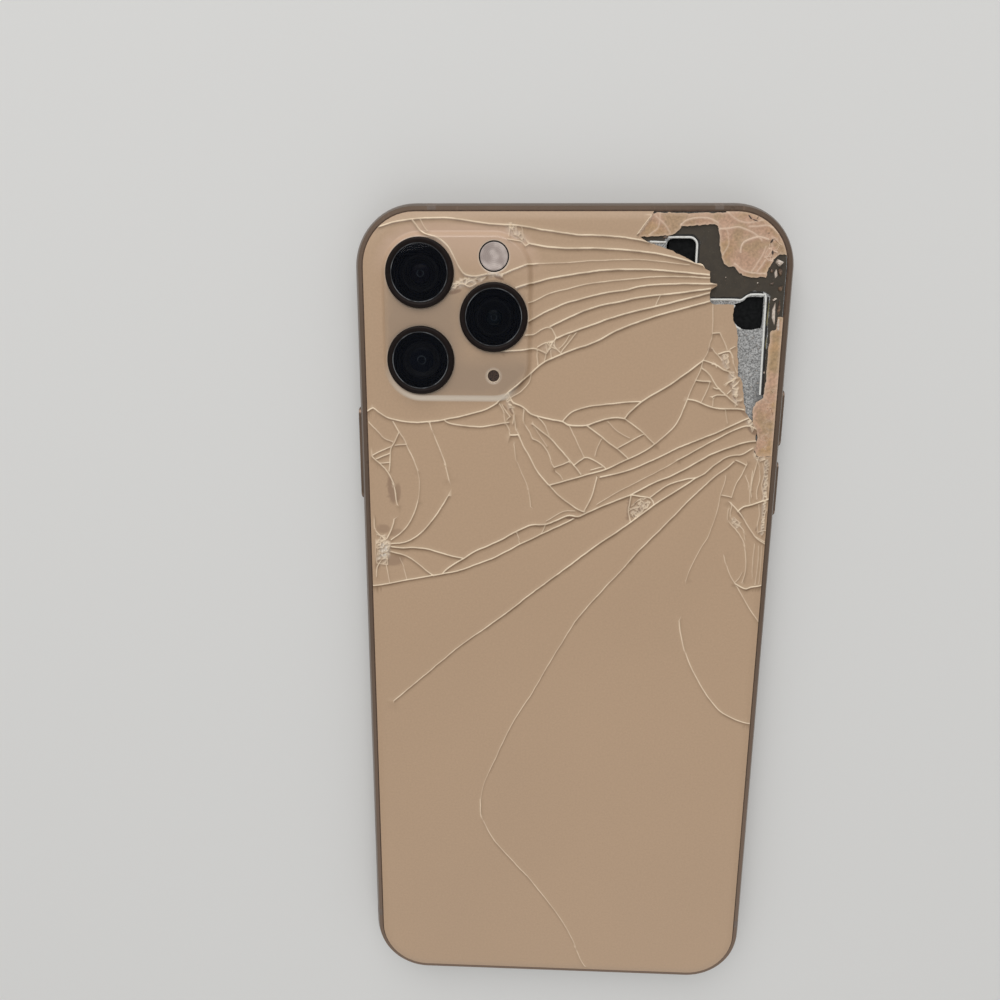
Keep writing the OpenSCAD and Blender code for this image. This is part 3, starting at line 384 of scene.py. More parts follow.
class Sheet:
    """A thin plate seen from above: outlines, holes and cracks, and its height as a formula of place."""

    def __init__(self, height, bottom, rng):
        self.height = height
        self.bottom = bottom
        self.rng = rng
        self.points = []
        self.edges = []
        self.split = set()              # edges that part one shard from the next
        self.outers = []
        self.holes = []
        self.cracks = []
        self.crushed = []
        self.stains_and_shadows = []
        self.extra = {}                 # more masks: name and formula of place
        self.lean = None                # how much paler a shard is for its place

    def line(self, points, closed=False, split=False):
        """Edges that the mesh has to follow."""
        start = len(self.points)
        self.points.extend(points)
        pairs = [(start + i, start + i + 1) for i in range(len(points) - 1)]
        if closed:
            pairs.append((start + len(points) - 1, start))
        if split:
            self.split.update(range(len(self.edges), len(self.edges) + len(pairs)))
        self.edges.extend(pairs)

    def outer(self, points):
        """The sheet's own edge."""
        self.outers.append(np.asarray(points))
        self.line(points, closed=True)

    def hole(self, points):
        """The edge of an opening in the sheet."""
        self.holes.append(np.asarray(points))
        self.line(points, closed=True)

    def crack(self, points, strength, width, depth, step=0.7, fine=False):
        """A crack along a smooth curve, with edges beside it for its painted bright line on the side towards
        the light and its painted shade on the other side.
        """
        curve = smooth(points, step)
        along = np.gradient(curve, axis=0)
        along /= np.maximum(np.linalg.norm(along, axis=1), 1e-9)[:, None]
        left = np.stack([-along[:, 1], along[:, 0]], 1)
        if len(curve) > 3:
            wander = np.convolve(self.rng.normal(0, SIDESTEP, len(curve)), np.ones(3) / 3, "same")
            wander[0] = wander[-1] = 0
            curve = curve + left * wander[:, None]
        side = left * np.where(left @ SHADE_WAY < 0, -1, 1)[:, None]
        self.line(curve, split=True)
        for far in FINE if fine else ACROSS[FOLLOWED]:
            if far:
                self.line(curve + side * far * width)
        for far in () if fine else (*ACROSS[:2], *ACROSS[7:]):
            self.points.extend((curve + side * far * width)[1:-1])
        self.cracks.append((curve, strength, width, depth))

    def stain_and_shadow(self, x, y, length, width, turn, strength):
        """A soft dark patch, with loose points round it."""
        angle = np.linspace(0, 2 * math.pi, 18, endpoint=False)
        c, d = math.cos(math.radians(turn)), math.sin(math.radians(turn))
        for grow in (0.5, 0.9, 1.25):
            u, v = length * grow * np.cos(angle), width * grow * np.sin(angle)
            self.points.extend(np.stack([x + u * c - v * d, y + u * d + v * c], 1))
        self.stains_and_shadows.append((x, y, length, width, c, d, strength))

    def web(self, start, end, radius, spacing, white, strength):
        """Small shards: a net of short cracks along a stretch from start to end."""
        start, end = np.array(start, float), np.array(end, float)
        length = np.linalg.norm(end - start)
        along = (end - start) / length if length > 0 else np.array([1.0, 0.0])
        across = np.array([-along[1], along[0]])
        net = []
        for u in np.arange(-radius, length + radius, spacing):
            for v in np.arange(-radius, radius + spacing, spacing):
                shake = self.rng.uniform(-0.42, 0.42, 2) * spacing
                over = max(0.0, -u, u - length)
                if math.hypot(over, v) < radius:
                    net.append(start + along * (u + shake[0]) + across * (v + shake[1]))
        net = np.array(net)
        for i, p in enumerate(net):
            gap = np.linalg.norm(net - p, axis=1)
            for j in np.argsort(gap)[1:4]:
                if j > i and gap[j] < 1.6 * spacing:
                    self.crack((p, net[j]), strength, FINE_WIDTH, FINE_DEPTH, step=9.0, fine=True)
        if white:
            self.crushed.append((np.array([start, end]), white, radius))

    def fill(self, x0, y0, x1, y1, spacing):
        """Loose points all over, so that no triangle is large."""
        for x in np.arange(x0, x1, spacing):
            for y in np.arange(y0, y1, spacing):
                self.points.append(np.array([x, y]) + self.rng.uniform(-0.3, 0.3, 2) * spacing)

    def build(self, name, materials, masks, big=260.0, lift=0.03, slope=0.06):
        """Makes the mesh. Shards smaller than big, in square millimetres, lie a little askew."""
        flat = [Vector(p) for p in self.points]
        co, edges, tris, _, edge_ids, _ = geometry.delaunay_2d_cdt(flat, self.edges, [], 0, 1e-4)
        p = np.array([tuple(v) for v in co])
        tris, area = face_up(p, self.covered(p, tris))
        tris, area = tris[area > 1e-9], area[area > 1e-9]
        used = np.unique(tris)
        index = np.full(len(p), -1)
        index[used] = np.arange(len(used))
        cut = {tuple(sorted(index[list(e)])) for e, ids in zip(edges, edge_ids)
               if self.split.intersection(ids)}
        p, tris = p[used], index[tris]

        values = self.paint(p)
        shard = self.shards(tris, cut)
        z = self.height(p)
        tint = np.zeros(len(p))
        groove = values["groove"]
        for one in np.unique(shard):
            mine = shard == one
            size = area[mine].sum()
            if size > big:
                continue
            nodes = np.unique(tris[mine])
            centre = p[nodes].mean(0)
            reach = max(0.5, math.sqrt(size))
            tip = self.rng.uniform(-1, 1, 2) * min(slope, lift / reach)
            shift = self.rng.uniform(-1, 0.2) * lift
            tint[nodes] = self.rng.uniform(-1, 1) * TINT + (self.lean(centre) if self.lean else 0)
            z[nodes] += shift + (p[nodes] - centre) @ tip
        z = z - groove
        values["tint"] = tint
        values.update({key: formula(p) for key, formula in self.extra.items()})
        return self.solid(name, p, z, tris, values, materials, masks)

    def covered(self, p, tris):
        """The triangles that lie on the sheet."""
        tris = np.array(tris)
        mid = p[tris].mean(1)
        keep = np.zeros(len(tris), bool)
        for loop in self.outers:
            keep |= inside(loop, mid)
        for loop in self.holes:
            keep &= ~inside(loop, mid)
        return tris[keep]

    def shards(self, tris, cut):
        """Which shard each triangle belongs to, when cut edges can't be crossed."""
        parent = list(range(len(tris)))

        def root(i):
            while parent[i] != i:
                parent[i] = parent[parent[i]]
                i = parent[i]
            return i

        seen = {}
        for t, (i, j, k) in enumerate(tris.tolist()):
            for e in ((i, j), (j, k), (k, i)):
                e = (min(e), max(e))
                if e in cut:
                    continue
                if e in seen:
                    parent[root(t)] = root(seen[e])
                else:
                    seen[e] = t
        return np.array([root(t) for t in range(len(tris))])

    def paint(self, p):
        """Values at each point: a crack's painted bright line, glow and shade, crushed glass, dark patches
        with some painted shadows among them, and depth.
        """
        values = {key: np.zeros(len(p)) for key in (*PROFILES, "crush", "stain_and_shadow")}
        for curve, strength, width, depth in self.cracks:
            wide = width * ACROSS[-1] * 1.2
            near = np.nonzero(((p > curve.min(0) - wide) & (p < curve.max(0) + wide)).all(1))[0]
            if not len(near):
                continue
            gap, away = nearest_on(curve, p[near])
            facing = (away @ SHADE_WAY) / np.maximum(gap, 1e-6)
            across = np.where(facing < 0, -gap, gap) / width
            turned_to = np.where(gap < 1e-5, 0.7, np.abs(facing))
            for key, (profile, least) in PROFILES.items():
                amount = depth if key == "groove" else strength ** PAINT_FADE
                here = amount * (least + (1 - least) * turned_to) * np.interp(across, ACROSS, profile, 0, 0)
                values[key][near] = np.maximum(values[key][near], here)
        for stretch, white, radius in self.crushed:
            here = white * np.clip(1.3 * (1 - nearest_on(stretch, p)[0] / radius), 0, 1)
            values["crush"] = np.maximum(values["crush"], here)
        for x, y, length, width, c, d, strength in self.stains_and_shadows:
            u = ((p[:, 0] - x) * c + (p[:, 1] - y) * d) / length
            v = ((p[:, 1] - y) * c - (p[:, 0] - x) * d) / width
            here = strength * np.clip(2.6 * (1.25 - np.hypot(u, v)), 0, 1)
            values["stain_and_shadow"] = np.maximum(values["stain_and_shadow"], here)
        return values

    def solid(self, name, p, z, tris, values, materials, masks):
        """Closes the painted top with walls and a flat bottom."""
        sides = dict.fromkeys(e for i, j, k in tris.tolist() for e in ((i, j), (j, k), (k, i)))
        rim = [e for e in sides if e[::-1] not in sides]
        rim_ids = sorted({i for e in rim for i in e})
        local = {v: n for n, v in enumerate(rim_ids)}
        floor, _, under, origin, _, _ = geometry.delaunay_2d_cdt(
            [Vector(p[v]) for v in rim_ids], [(local[a], local[b]) for a, b in rim], [], 0, 1e-5)
        spot = np.array([tuple(v) for v in floor])
        under, _ = face_up(spot, self.covered(spot, under))
        back = np.array([ids[0] for ids in origin])
        base = (len(p) + back[under[:, ::-1]]).tolist()
        low = {v: len(p) + n for v, n in local.items()}
        walls = [(a, low[a], low[b]) for a, b in rim] + [(a, low[b], b) for a, b in rim]
        foot = np.column_stack([p[rim_ids], np.full(len(rim_ids), self.bottom)])
        verts = np.vstack([np.column_stack([p, z]), foot]) * MM
        faces = tris.tolist() + [list(w) for w in walls] + base

        mesh = bpy.data.meshes.new(name)
        mesh.from_pydata(verts.tolist(), [], faces)
        mesh.update()
        kind = np.zeros(len(faces), np.int32)
        if len(materials) > 1:
            kind[len(tris):len(tris) + len(walls)] = 1
        mesh.polygons.foreach_set("material_index", kind)
        for key in masks:
            layer = mesh.attributes.new(key, "FLOAT", "POINT")
            full = np.zeros(len(verts), np.float32)
            full[:len(p)] = values[key]
            layer.data.foreach_set("value", full)
        self.soften(mesh, p, tris, values)
        piece = bpy.data.objects.new(name, mesh)
        bpy.context.scene.collection.objects.link(piece)
        for material in materials:
            mesh.materials.append(material)
        return piece

    def soften(self, mesh, p, tris, values):
        """Rounded normals where the sheet itself is curved, and flat ones on every shard."""
        d = 0.02
        dx = (self.height(p + (d, 0)) - self.height(p - (d, 0))) / (2 * d)
        dy = (self.height(p + (0, d)) - self.height(p - (0, d))) / (2 * d)
        round_normal = np.column_stack([-dx, -dy, np.ones(len(p))])
        round_normal /= np.linalg.norm(round_normal, axis=1)[:, None]
        curved = np.hypot(dx, dy)[tris].max(1) > 0.002
        plain = values["groove"][tris].max(1) < 1e-6
        flat = np.zeros((len(mesh.polygons), 3), np.float32)
        mesh.polygons.foreach_get("normal", flat.ravel())
        normals = np.repeat(flat, 3, axis=0).reshape(-1, 3, 3)
        pick = np.nonzero(curved & plain)[0]
        normals[pick] = round_normal[tris[pick]]
        mesh.polygons.foreach_set("use_smooth", np.ones(len(mesh.polygons), bool))
        mesh.normals_split_custom_set(normals.reshape(-1, 3).tolist())


# ---------------------------------------------------------------- where the damage is, in millimetres

BREAK_EDGE = (                          # the glass that still holds, from the top end to the right side
    (13.7, 79.6), (13.7, 77.3), (12.2, 74.9), (10.9, 73.2), (12, 72.6), (13.2, 71.9), (16.1, 71),
    (18.7, 69.8), (21.3, 68.6), (22.5, 68.4), (22.8, 67.8), (23.6, 67.2), (23.8, 66.2), (23.8, 65.4),
    (25, 65.2), (25, 64.8), (24.1, 64.1), (23.9, 63.6), (24.1, 62.5), (24.3, 61.7), (28.2, 61.7),
    (28.1, 60), (28.3, 59), (29, 57.8), (29.2, 56), (29.3, 54), (29.6, 51.5), (29.8, 49.4), (30.4, 48.8),
    (30.9, 46.8), (31.2, 44.6), (31.6, 42.9), (32.3, 41.9), (33, 41), (33.9, 39.6), (33.7, 38.6),
    (33.9, 37), (33.6, 35.8), (34.3, 34.9), (39.5, 34.9), (39.5, 79.6))
CORNER_LAYER = (
    (13.3, 76.95), (20, 76.85), (25.9, 76.9), (26.4, 79.6), (39.5, 79.6), (39.5, 70.1), (36.6, 70.1),
    (35.6, 70.2), (34.9, 69.6), (34.2, 68.5), (33.6, 67.1), (33.5, 66.3), (30.5, 66.3), (29.5, 66.6),
    (28.6, 67.3), (27.8, 68.2), (26.9, 68), (26.1, 68.5), (25.6, 70), (25.2, 71.6), (25, 73.6),
    (24.7, 74.8), (24.1, 75.1), (22, 74.9), (18.5, 74.7), (17.8, 73.8), (17, 73.4), (14.5, 73.1),
    (10.8, 73), (11.8, 74.9))
EDGE_LAYER = (
    (36.1, 59.6), (39.5, 59.6), (39.5, 34.9), (34.3, 34.9), (33.7, 36.2), (34.2, 38.2), (34, 39.5),
    (33.3, 40.6), (33, 42), (33, 43.3), (33.5, 44.6), (34.6, 45.4), (34.9, 48), (34.9, 52), (35, 57.2),
    (36, 57.5))
FILM_WINDOW = (                         # where the film came away with the glass
    (24, 62.95), (29.6, 62.95), (30.4, 63.5), (31.1, 63.9), (33.9, 63.9), (34.5, 63.2), (34.6, 58),
    (34.7, 45), (34.7, 31), (24, 31))
FILM_TEAR = ((12.8, 72.4), (16.2, 72.4), (16.2, 70.5), (12.6, 71.2))
OPENING_A = (16.1, 64, 21.2, 72.8, 1.2)      # its sides and corner radius
OPENING_B = (
    (28.5, 61.8), (29.9, 62.3), (30.8, 63), (33.2, 63), (33.5, 62.7), (33.5, 58.2), (33, 57.7),
    (31.5, 57.4), (29.9, 57.6), (28.9, 58.4), (28.2, 59.6))
FILM_LIP = ((24.2, 62.55), (28, 62.55), (29.5, 62.5), (30.2, 62.9), (31.1, 63.4), (33.3, 63.4),
            (33.8, 63), (33.9, 58), (34, 52), (34.1, 46))
OPENING_LIP = ((28.5, 61.6), (28.1, 60.7), (28.1, 59.5), (28.7, 58.2), (29.8, 57.5))

# Strength of each crack from 0 to 1, and the points that it runs through
CRACKS = (
    # fan from the broken corner to the left
    (0.9, ((-34, 74.6), (-31, 75.4), (-27, 75.9), (-22, 76), (-18, 75.5), (-14, 75), (-10, 74.8), (-5, 74),
           (0, 73.3), (5, 73.1), (9.5, 72.7), (13, 72))),
    (1.0, ((-7.8, 71.8), (-5, 71.3), (-2, 71), (4, 71), (9.5, 70.7), (14, 70.2), (18, 69.4), (22.4, 68.2))),
    (0.8, ((-12.2, 66.6), (-10, 67.5), (-8, 68.2), (-6.5, 68.4))),
    (0.35, ((-6.5, 68.4), (0, 68.7), (5, 69), (12, 69.1), (20, 68.3))),
    (1.0, ((-9.9, 64.3), (-8, 64.9), (-5, 65.7), (-2, 66.3), (2, 66.9), (6, 67.4), (12, 67.5), (17, 67.2),
           (23.7, 66.6))),
    (0.5, ((-7.7, 61.8), (-6.8, 62), (-4, 63.4), (-1, 64.2), (3, 65.1), (9, 65.8), (16, 66.3), (23.8, 66.1))),
    (0.9, ((-7.6, 58.6), (-5, 60.1), (-3, 61), (0, 62.1), (5, 63.4), (9.5, 64.1), (13, 64.8), (18, 65.1),
           (24.8, 65.1))),
    (1.0, ((-3.8, 57.7), (-2, 58.6), (1, 60), (5, 61.4), (9, 62.2), (13, 63), (19, 63.6), (24, 64.3))),
    (1.0, ((-2.7, 55.7), (0, 56.8), (4, 58.2), (8, 59.6), (12, 60.7), (16, 61.6), (20, 62.6), (24, 63.6))),
    (1.0, ((-1.7, 52.9), (0, 53.6), (3, 54.6), (5, 55.5), (8, 57.1), (11, 58.3), (15, 59.7), (20, 61.1),
           (24.1, 62.2))),
    (0.4, ((14.6, 61.3), (15.4, 63.2))),
    (0.5, ((10.9, 73.2), (12, 74.8), (13.2, 76.3))),
    # round the cameras
    (1.0, ((-28.2, 75.8), (-27.4, 74.8), (-26.7, 73.9), (-25.4, 73.2), (-23.6, 72.6), (-21.9, 71.3),
           (-20.8, 69.4), (-19.9, 67.7), (-18.8, 66.5), (-17, 66.2), (-15, 66.6))),
    (0.5, ((-26.7, 75.8), (-26, 74.5), (-25.5, 73.9))),
    (0.8, ((-21.2, 64.9), (-19.5, 65), (-18, 64.4), (-17, 64.9))),
    (0.6, ((-8.2, 56.2), (-6.8, 56.3), (-5.5, 57.1), (-4.2, 57.6), (-3.6, 57.4), (-3.1, 56.5), (-2.7, 55.8))),
    (0.8, ((-12.4, 53.4), (-9, 53.6), (-6.3, 53.9), (-6, 52.5), (-5.8, 51.1))),
    (0.7, ((-6.2, 53.8), (-5, 53.3), (-4.4, 53), (-3.8, 54), (-3.3, 55))),
    (0.6, ((-5.9, 54.2), (-4.6, 54.9), (-3.3, 55), (-2.7, 55.8))),
    (0.6, ((-4.4, 53), (-4.7, 51.6))),
    (0.5, ((-3.6, 53.6), (-3.4, 52.2))),
    (0.6, ((-3.3, 54.6), (-1.8, 53.1))),
    (0.5, ((0.8, 56.6), (-0.7, 54.6), (-1.7, 53.3))),
    (0.4, ((-0.3, 56.3), (-1.2, 54.8), (-2, 54))),
    (0.6, ((-11.4, 72.4), (-10, 72.2), (-9, 72.1), (-8.4, 71.4), (-7.6, 71.8))),
    (0.5, ((-11.2, 73), (-11, 74.8))),
    (0.5, ((-10, 74.8), (-9.8, 73.3), (-8.9, 72.3))),
    (0.5, ((-9, 74.6), (-8.6, 73), (-8, 71.9))),
    (1.0, ((-1.7, 52.9), (-4, 51.9), (-5.5, 50.9), (-6.8, 49.8), (-8, 48.8), (-9.5, 47.5), (-11, 46.2),
           (-12.3, 45), (-13.2, 44.1))),
    (0.4, ((-7, 49.4), (-7.4, 47.9), (-8.8, 46.3), (-10.6, 45.2))),
    # from the hub under the cameras
    (1.0, ((-11.2, 45.9), (-10.8, 45), (-10.3, 44.2), (-9, 43.7), (-8, 43), (-7, 42.2), (-5, 41.6),
           (-3, 41.2), (-1.3, 40.9), (0, 40.2), (3, 40.2), (4.5, 40.7), (6.5, 41.4), (8.8, 41.7),
           (10, 41.5))),
    (1.0, ((10, 41.5), (11, 42.8), (13, 44.6), (15, 45.9), (18, 47.8), (21, 50), (23.5, 52))),
    (0.8, ((10, 41.5), (12, 40.1), (13.5, 38.9), (15.6, 36.9))),
    (0.7, ((15.6, 36.9), (17.5, 38.6), (19, 40.2), (20, 42), (20.6, 43.6), (21.1, 45))),
    (0.5, ((21.1, 45), (21.6, 46.6), (22.4, 48.6), (23.2, 50.6), (23.5, 52))),
    (0.8, ((-1.2, 40.9), (-0.4, 41.9), (0.8, 42.8), (3, 43.6), (6, 44), (9.5, 44.4), (12.8, 44.6))),
    (0.8, ((-12.8, 44), (-12.2, 43), (-11.8, 41.8), (-11.5, 40.3), (-11, 39.3), (-10.7, 38.3))),
    (1.0, ((-10.7, 38.3), (-9.3, 38.4))),
    (0.9, ((-9.2, 38.2), (-8.2, 36), (-7.3, 34.6), (-6.2, 32.4), (-5, 30.7), (-3.4, 28.9), (-2, 27.4),
           (0, 25.8), (2, 24.5), (3.2, 24))),
    (0.4, ((-10, 36.6), (-9.7, 34.3), (-9.2, 32.8), (-8.6, 31.2), (-7.6, 29), (-7, 27), (-6.8, 25))),
    (0.8, ((-12.3, 43.8), (-11.5, 42.5), (-10.8, 41.6))),
    (0.6, ((-11.3, 41.2), (-10.7, 41.8))),
    (0.8, ((-10.6, 43.7), (-10.2, 42.5), (-10, 41.8), (-10.2, 40.6))),
    (0.8, ((-10, 42), (-9.8, 40.3), (-9.5, 38.9), (-9.1, 38.1))),
    (0.5, ((-11.2, 46), (-11.3, 45.2), (-10.7, 44.5), (-10.3, 44.1))),
    (0.4, ((-6.3, 39.7), (-5.3, 38.2), (-4.5, 37), (-4, 36.3))),
    (0.7, ((-8.2, 43), (-8.3, 41), (-7.9, 40), (-7.1, 38.8), (-6.7, 37.7), (-6, 37.4), (-5, 36.8),
           (-4, 35.5), (-3.3, 34), (-3, 33), (-2.6, 32.4))),
    (0.9, ((-6.6, 40.3), (-5, 39), (-3.5, 37.9), (-2, 36.3), (-0.2, 34.2), (1, 32.8), (1.8, 31.8),
           (2.3, 31.2))),
    (0.6, ((-6, 41.9), (-4.7, 40.5), (-3.7, 38.3))),
    # arcs on the left
    (0.9, ((-38, 41.9), (-36.9, 42.5), (-35.9, 43.1), (-35, 42.4), (-33.5, 41.4), (-32, 40.9), (-29, 40.5),
           (-26, 40.6), (-23, 41), (-20, 41.6), (-17, 42.4), (-15, 43.1), (-13.2, 44.1))),
    (0.8, ((-22.9, 41), (-22.2, 40.5), (-20, 40), (-17, 39.8), (-15, 39.9), (-12, 40.5), (-11.1, 40.6))),
    (0.6, ((-36.8, 40.3), (-35.3, 38.8), (-34, 37.5), (-32.6, 36.9))),
    (0.8, ((-32.4, 40.7), (-31.2, 38.6), (-30.3, 37.2), (-29.6, 35.5), (-28.7, 33.5), (-27.9, 31.5))),
    (0.35, ((-27.9, 31.5), (-27.6, 30), (-27.6, 28), (-28, 25.5))),
    (0.7, ((-28, 25.5), (-28.8, 23.2), (-30, 21), (-31.5, 19.3), (-33.2, 18.1))),
    (0.7, ((-31.2, 38.6), (-32, 37), (-32.8, 35.5), (-33, 33), (-33.2, 31.5))),
    (0.6, ((-32, 36.2), (-29.9, 36.4))),
    (0.7, ((-36.2, 34.3), (-34.5, 35.2), (-32.8, 35.9))),
    (0.7, ((-35.6, 33.6), (-34, 34.3), (-33, 34.7))),
    (0.6, ((-34.9, 32.8), (-33, 33))),
    (0.9, ((-36.4, 34), (-35, 32.7), (-33.8, 31.5), (-33, 30), (-32.3, 28.3), (-32, 26), (-31.8, 25))),
    (0.8, ((-25.5, 40.5), (-24.7, 38), (-23.6, 35), (-22.6, 32.2), (-22, 29.8))),
    (0.8, ((-22.2, 26.8), (-23, 25.4), (-24.7, 22.8), (-27, 20), (-29, 18.4), (-31, 17.5), (-33.2, 17.3))),
    # arms of the star on the left side
    (1.0, ((-33.2, 16.7), (-31, 16.5), (-29, 16.6), (-26.5, 16.4), (-24, 15.7), (-21, 14.9), (-19.4, 14.6))),
    (0.9, ((-33.2, 15.7), (-31, 15.1), (-29.5, 14.4), (-28, 13.3), (-26.5, 12), (-25.3, 11.1))),
    (0.7, ((-34, 18.3), (-33.3, 19.7), (-32.7, 21.2), (-32.5, 22.2))),
    (0.7, ((-36.3, 22), (-36.3, 20.2), (-35.8, 19.3), (-34.8, 18.5))),
    (0.4, ((-31.7, 14.6), (-31, 13), (-30.3, 10.3))),
    (0.5, ((-34.4, 14), (-34, 12), (-33.6, 9.4))),
    (0.5, ((-35.2, 14), (-36, 12.6), (-36.2, 10.8))),
    # from the left edge to the hub in the middle
    (0.9, ((-38, 8.6), (-34, 9.3), (-30, 10.2), (-26, 11), (-23, 11.6), (-20, 12.3), (-17, 13.5),
           (-14, 14.7), (-11, 16.3), (-8.7, 17.6), (-6, 19), (-4, 20), (-2, 21), (0, 22), (1.2, 22.7))),
    (1.0, ((-23.4, 11.6), (-22.6, 12.5), (-21, 13.6), (-19.4, 14.6), (-17, 16.2), (-15, 17.1), (-12, 18.6),
           (-10, 19.8), (-8, 20.8), (-6.5, 21.4), (-4, 21.5), (-2, 22.3), (-0.5, 23), (0.5, 23.3), (2, 23.1),
           (3.4, 23.7), (6, 25), (8.5, 26.1), (11.7, 27.4))),
    (0.4, ((-3.8, 22.2), (-2, 23.4), (-0.5, 24.1), (1.4, 24.2))),
    (0.5, ((-9.4, 19.9), (-8.7, 17.7))),
    (0.5, ((-4, 21.4), (-4.6, 19.9))),
    # from the hub in the middle to the right side
    (1.0, ((11.7, 27.4), (13.5, 28.4), (16, 29.8), (20, 31.6), (24.4, 34.2), (26, 35.2), (29, 36.4),
           (32, 37.4), (34, 37.7))),
    (0.9, ((6, 30.7), (9, 31.4), (12, 32.4), (16, 34.2), (20, 36.3), (24, 38), (27, 39.3), (30, 40.8),
           (32.2, 41.8))),
    (0.35, ((5.6, 25.6), (9, 27.8), (13, 30), (17, 32.2), (20, 34.1))),
    (0.8, ((20, 34.1), (22, 35.2), (25, 37), (29, 39.2), (31.8, 40.4), (33.6, 39.9))),
    (0.8, ((15.3, 27), (17, 28.4), (18.5, 29.4), (20, 30), (22, 30.6), (23.5, 30.8), (25, 31.6), (26.5, 33),
           (28.3, 34.4), (30, 35), (31.5, 35.2), (33.3, 36.3))),
    (1.0, ((23.4, 30.7), (22, 29.6), (20, 28.3), (18, 26.9), (16, 25.5), (12, 22.3), (10, 20.7), (6, 17.8),
           (0, 13))),
    (0.85, ((0, 13), (-6, 8.2), (-10, 4.8), (-15, 0.8))),
    (0.65, ((-15, 0.8), (-20, -3), (-25, -7.5), (-30, -12), (-33.5, -15.2))),
    (0.8, ((30, 33.7), (29, 32.7), (27, 31.2), (25, 29.2), (22, 26), (20, 23.7), (17, 20.3), (15, 18.2),
           (12, 14.6))),
    (0.6, ((12, 14.6), (10, 12.1), (8, 9.8), (6, 7.4), (4, 4.9), (2, 2.2))),
    (0.45, ((2, 2.2), (0, -1.4), (-3, -7), (-6, -12.8), (-9.5, -18.8), (-12, -24.5), (-14.3, -30))),
    (0.25, ((-14.3, -30), (-15.6, -33.5), (-16.2, -37))),
    (0.7, ((-16.2, -37), (-16.1, -40), (-15.5, -42), (-13.5, -46), (-10, -50.3), (-6, -55), (-2, -60.5),
           (1, -65), (3.5, -70), (5, -74), (6.3, -76.4))),
    (0.3, ((28.9, 31), (28.2, 27.5), (27.6, 24), (26.5, 20), (25, 17), (23.5, 13.5), (22.8, 11))),
    (0.8, ((22, 3), (22.5, 0), (24, -5), (26, -9), (28.5, -13), (31, -15.8), (34, -17.5), (37.4, -18.6))),
    # cells in the middle
    (0.9, ((-3.4, 29), (0, 30), (5, 31.6), (7, 32.2), (9.5, 33.4), (12, 34.6), (14, 35.7), (15.6, 36.9))),
    (0.9, ((3.3, 40.1), (5, 38.9), (7, 37.3), (8.8, 36), (10, 35), (11, 34.1))),
    (0.7, ((8.8, 36), (11, 37.3), (13.5, 38.7))),
    (0.4, ((7, 40.9), (8.8, 39.2), (11, 38))),
    (0.5, ((0, 40.1), (1.3, 37.5), (2.3, 35.5), (2.9, 34.3))),
    (0.8, ((1, 32.8), (2.9, 34.2), (4, 34.1), (5.2, 33.5), (6.6, 32.6), (6.9, 32.2))),
    (0.4, ((6, 37.8), (5.4, 36.5), (4.9, 34.8))),
    (0.6, ((4.2, 32), (6.3, 32.6))),
    (0.7, ((-2.6, 32.4), (-1, 33), (0.1, 33.5))),
    (0.5, ((-2.3, 31.6), (-1.5, 31), (-1, 30.2))),
    (0.7, ((5.4, 30.7), (5, 29), (4.6, 27.3), (4, 25.8), (3.2, 24.2))),
    # patch of crushed glass
    (0.9, ((11.7, 27.4), (13.5, 27.1), (15.3, 26.8), (16, 25.6))),
    (0.9, ((11.8, 27.3), (11.6, 25.6), (11.5, 24), (11.9, 22.4))),
    # web beside the opening on the right
    (0.35, ((23.5, 52), (24.2, 53.5), (24.5, 55.1), (24.8, 56.6), (24.6, 61.6))),
    (0.7, ((24.8, 56.7), (26, 56.8))),
    (0.5, ((26, 56.8), (27, 55.1), (27.4, 54.1))),
    (0.9, ((26.1, 53.1), (26.9, 53.4), (27.9, 53.6))),
    (0.5, ((24.9, 54.1), (25.4, 53.4), (26, 52.9), (26.6, 52.2))),
    (0.6, ((28, 53.7), (28.6, 52.6), (29, 51.1), (29.5, 49.9))),
    (0.5, ((28.1, 54), (28.8, 54.4))),
    (0.8, ((23.5, 52), (24.9, 51.6), (26.1, 51), (27, 50.4), (28, 50.1))),
    (0.5, ((28, 50.1), (28.6, 49.4), (29.4, 48.9))),
    (0.5, ((25.1, 51.3), (25.6, 51.5), (25.8, 50.9))),
    (0.8, ((23.3, 50.6), (24.1, 50), (24.9, 49.3), (25.4, 48.4), (26.1, 47.4), (27, 46.6), (28.7, 45.1),
           (29.9, 44.2))),
    (0.9, ((22.4, 48.5), (23.7, 48.3), (24.9, 48.3))),
    (0.4, ((24.9, 48.1), (24.6, 47.1), (24.2, 46), (23.6, 44.6))),
    (0.9, ((21.1, 45.1), (22.5, 44.8), (25, 43.9), (27, 43.5), (30, 43.5), (31.2, 43.3))),
    (0.7, ((25.6, 47.2), (26.1, 47), (26.7, 47))),
    (0.7, ((25.6, 45.6), (26.4, 45.9), (27.6, 45.9))),
    (0.4, ((25.7, 45.3), (25.7, 44))),
    (0.9, ((28.1, 48.1), (28.9, 48.5), (29.4, 48.9))),
    (0.6, ((29.2, 47.4), (29.6, 47.9), (29.9, 48.2))),
    (0.6, ((28.1, 46.1), (28.7, 46.7))),
    (0.4, ((28, 43.4), (28.5, 41))),
    # right side
    (0.5, ((33.7, 32.1), (33.6, 30.2), (33.7, 28.6))),
    (0.4, ((32.4, 31.2), (33.2, 29.3), (33.5, 28), (33.6, 26.4))),
    (0.5, ((34.3, 34.2), (34.9, 32.5), (35.1, 30.6), (34.7, 28.6), (34.9, 27))),
    (0.45, ((35.4, 33.6), (35.9, 31.6), (35.5, 29.6), (36, 27.6))),
    (0.4, ((35.3, 26), (35.6, 24), (35.3, 22), (35.6, 20.5))),
    (0.6, ((35.2, 19.7), (36, 19.3), (36.9, 18.7))),
    (0.5, ((35.5, 20.6), (36.3, 20.9), (37, 20.9))),
    (0.5, ((30.4, 25.7), (30.2, 23.7), (31, 22.4), (32.6, 21.2), (33.2, 19.4))),
    (0.35, ((35.9, 18), (36, 14.5), (35.8, 10.7))),
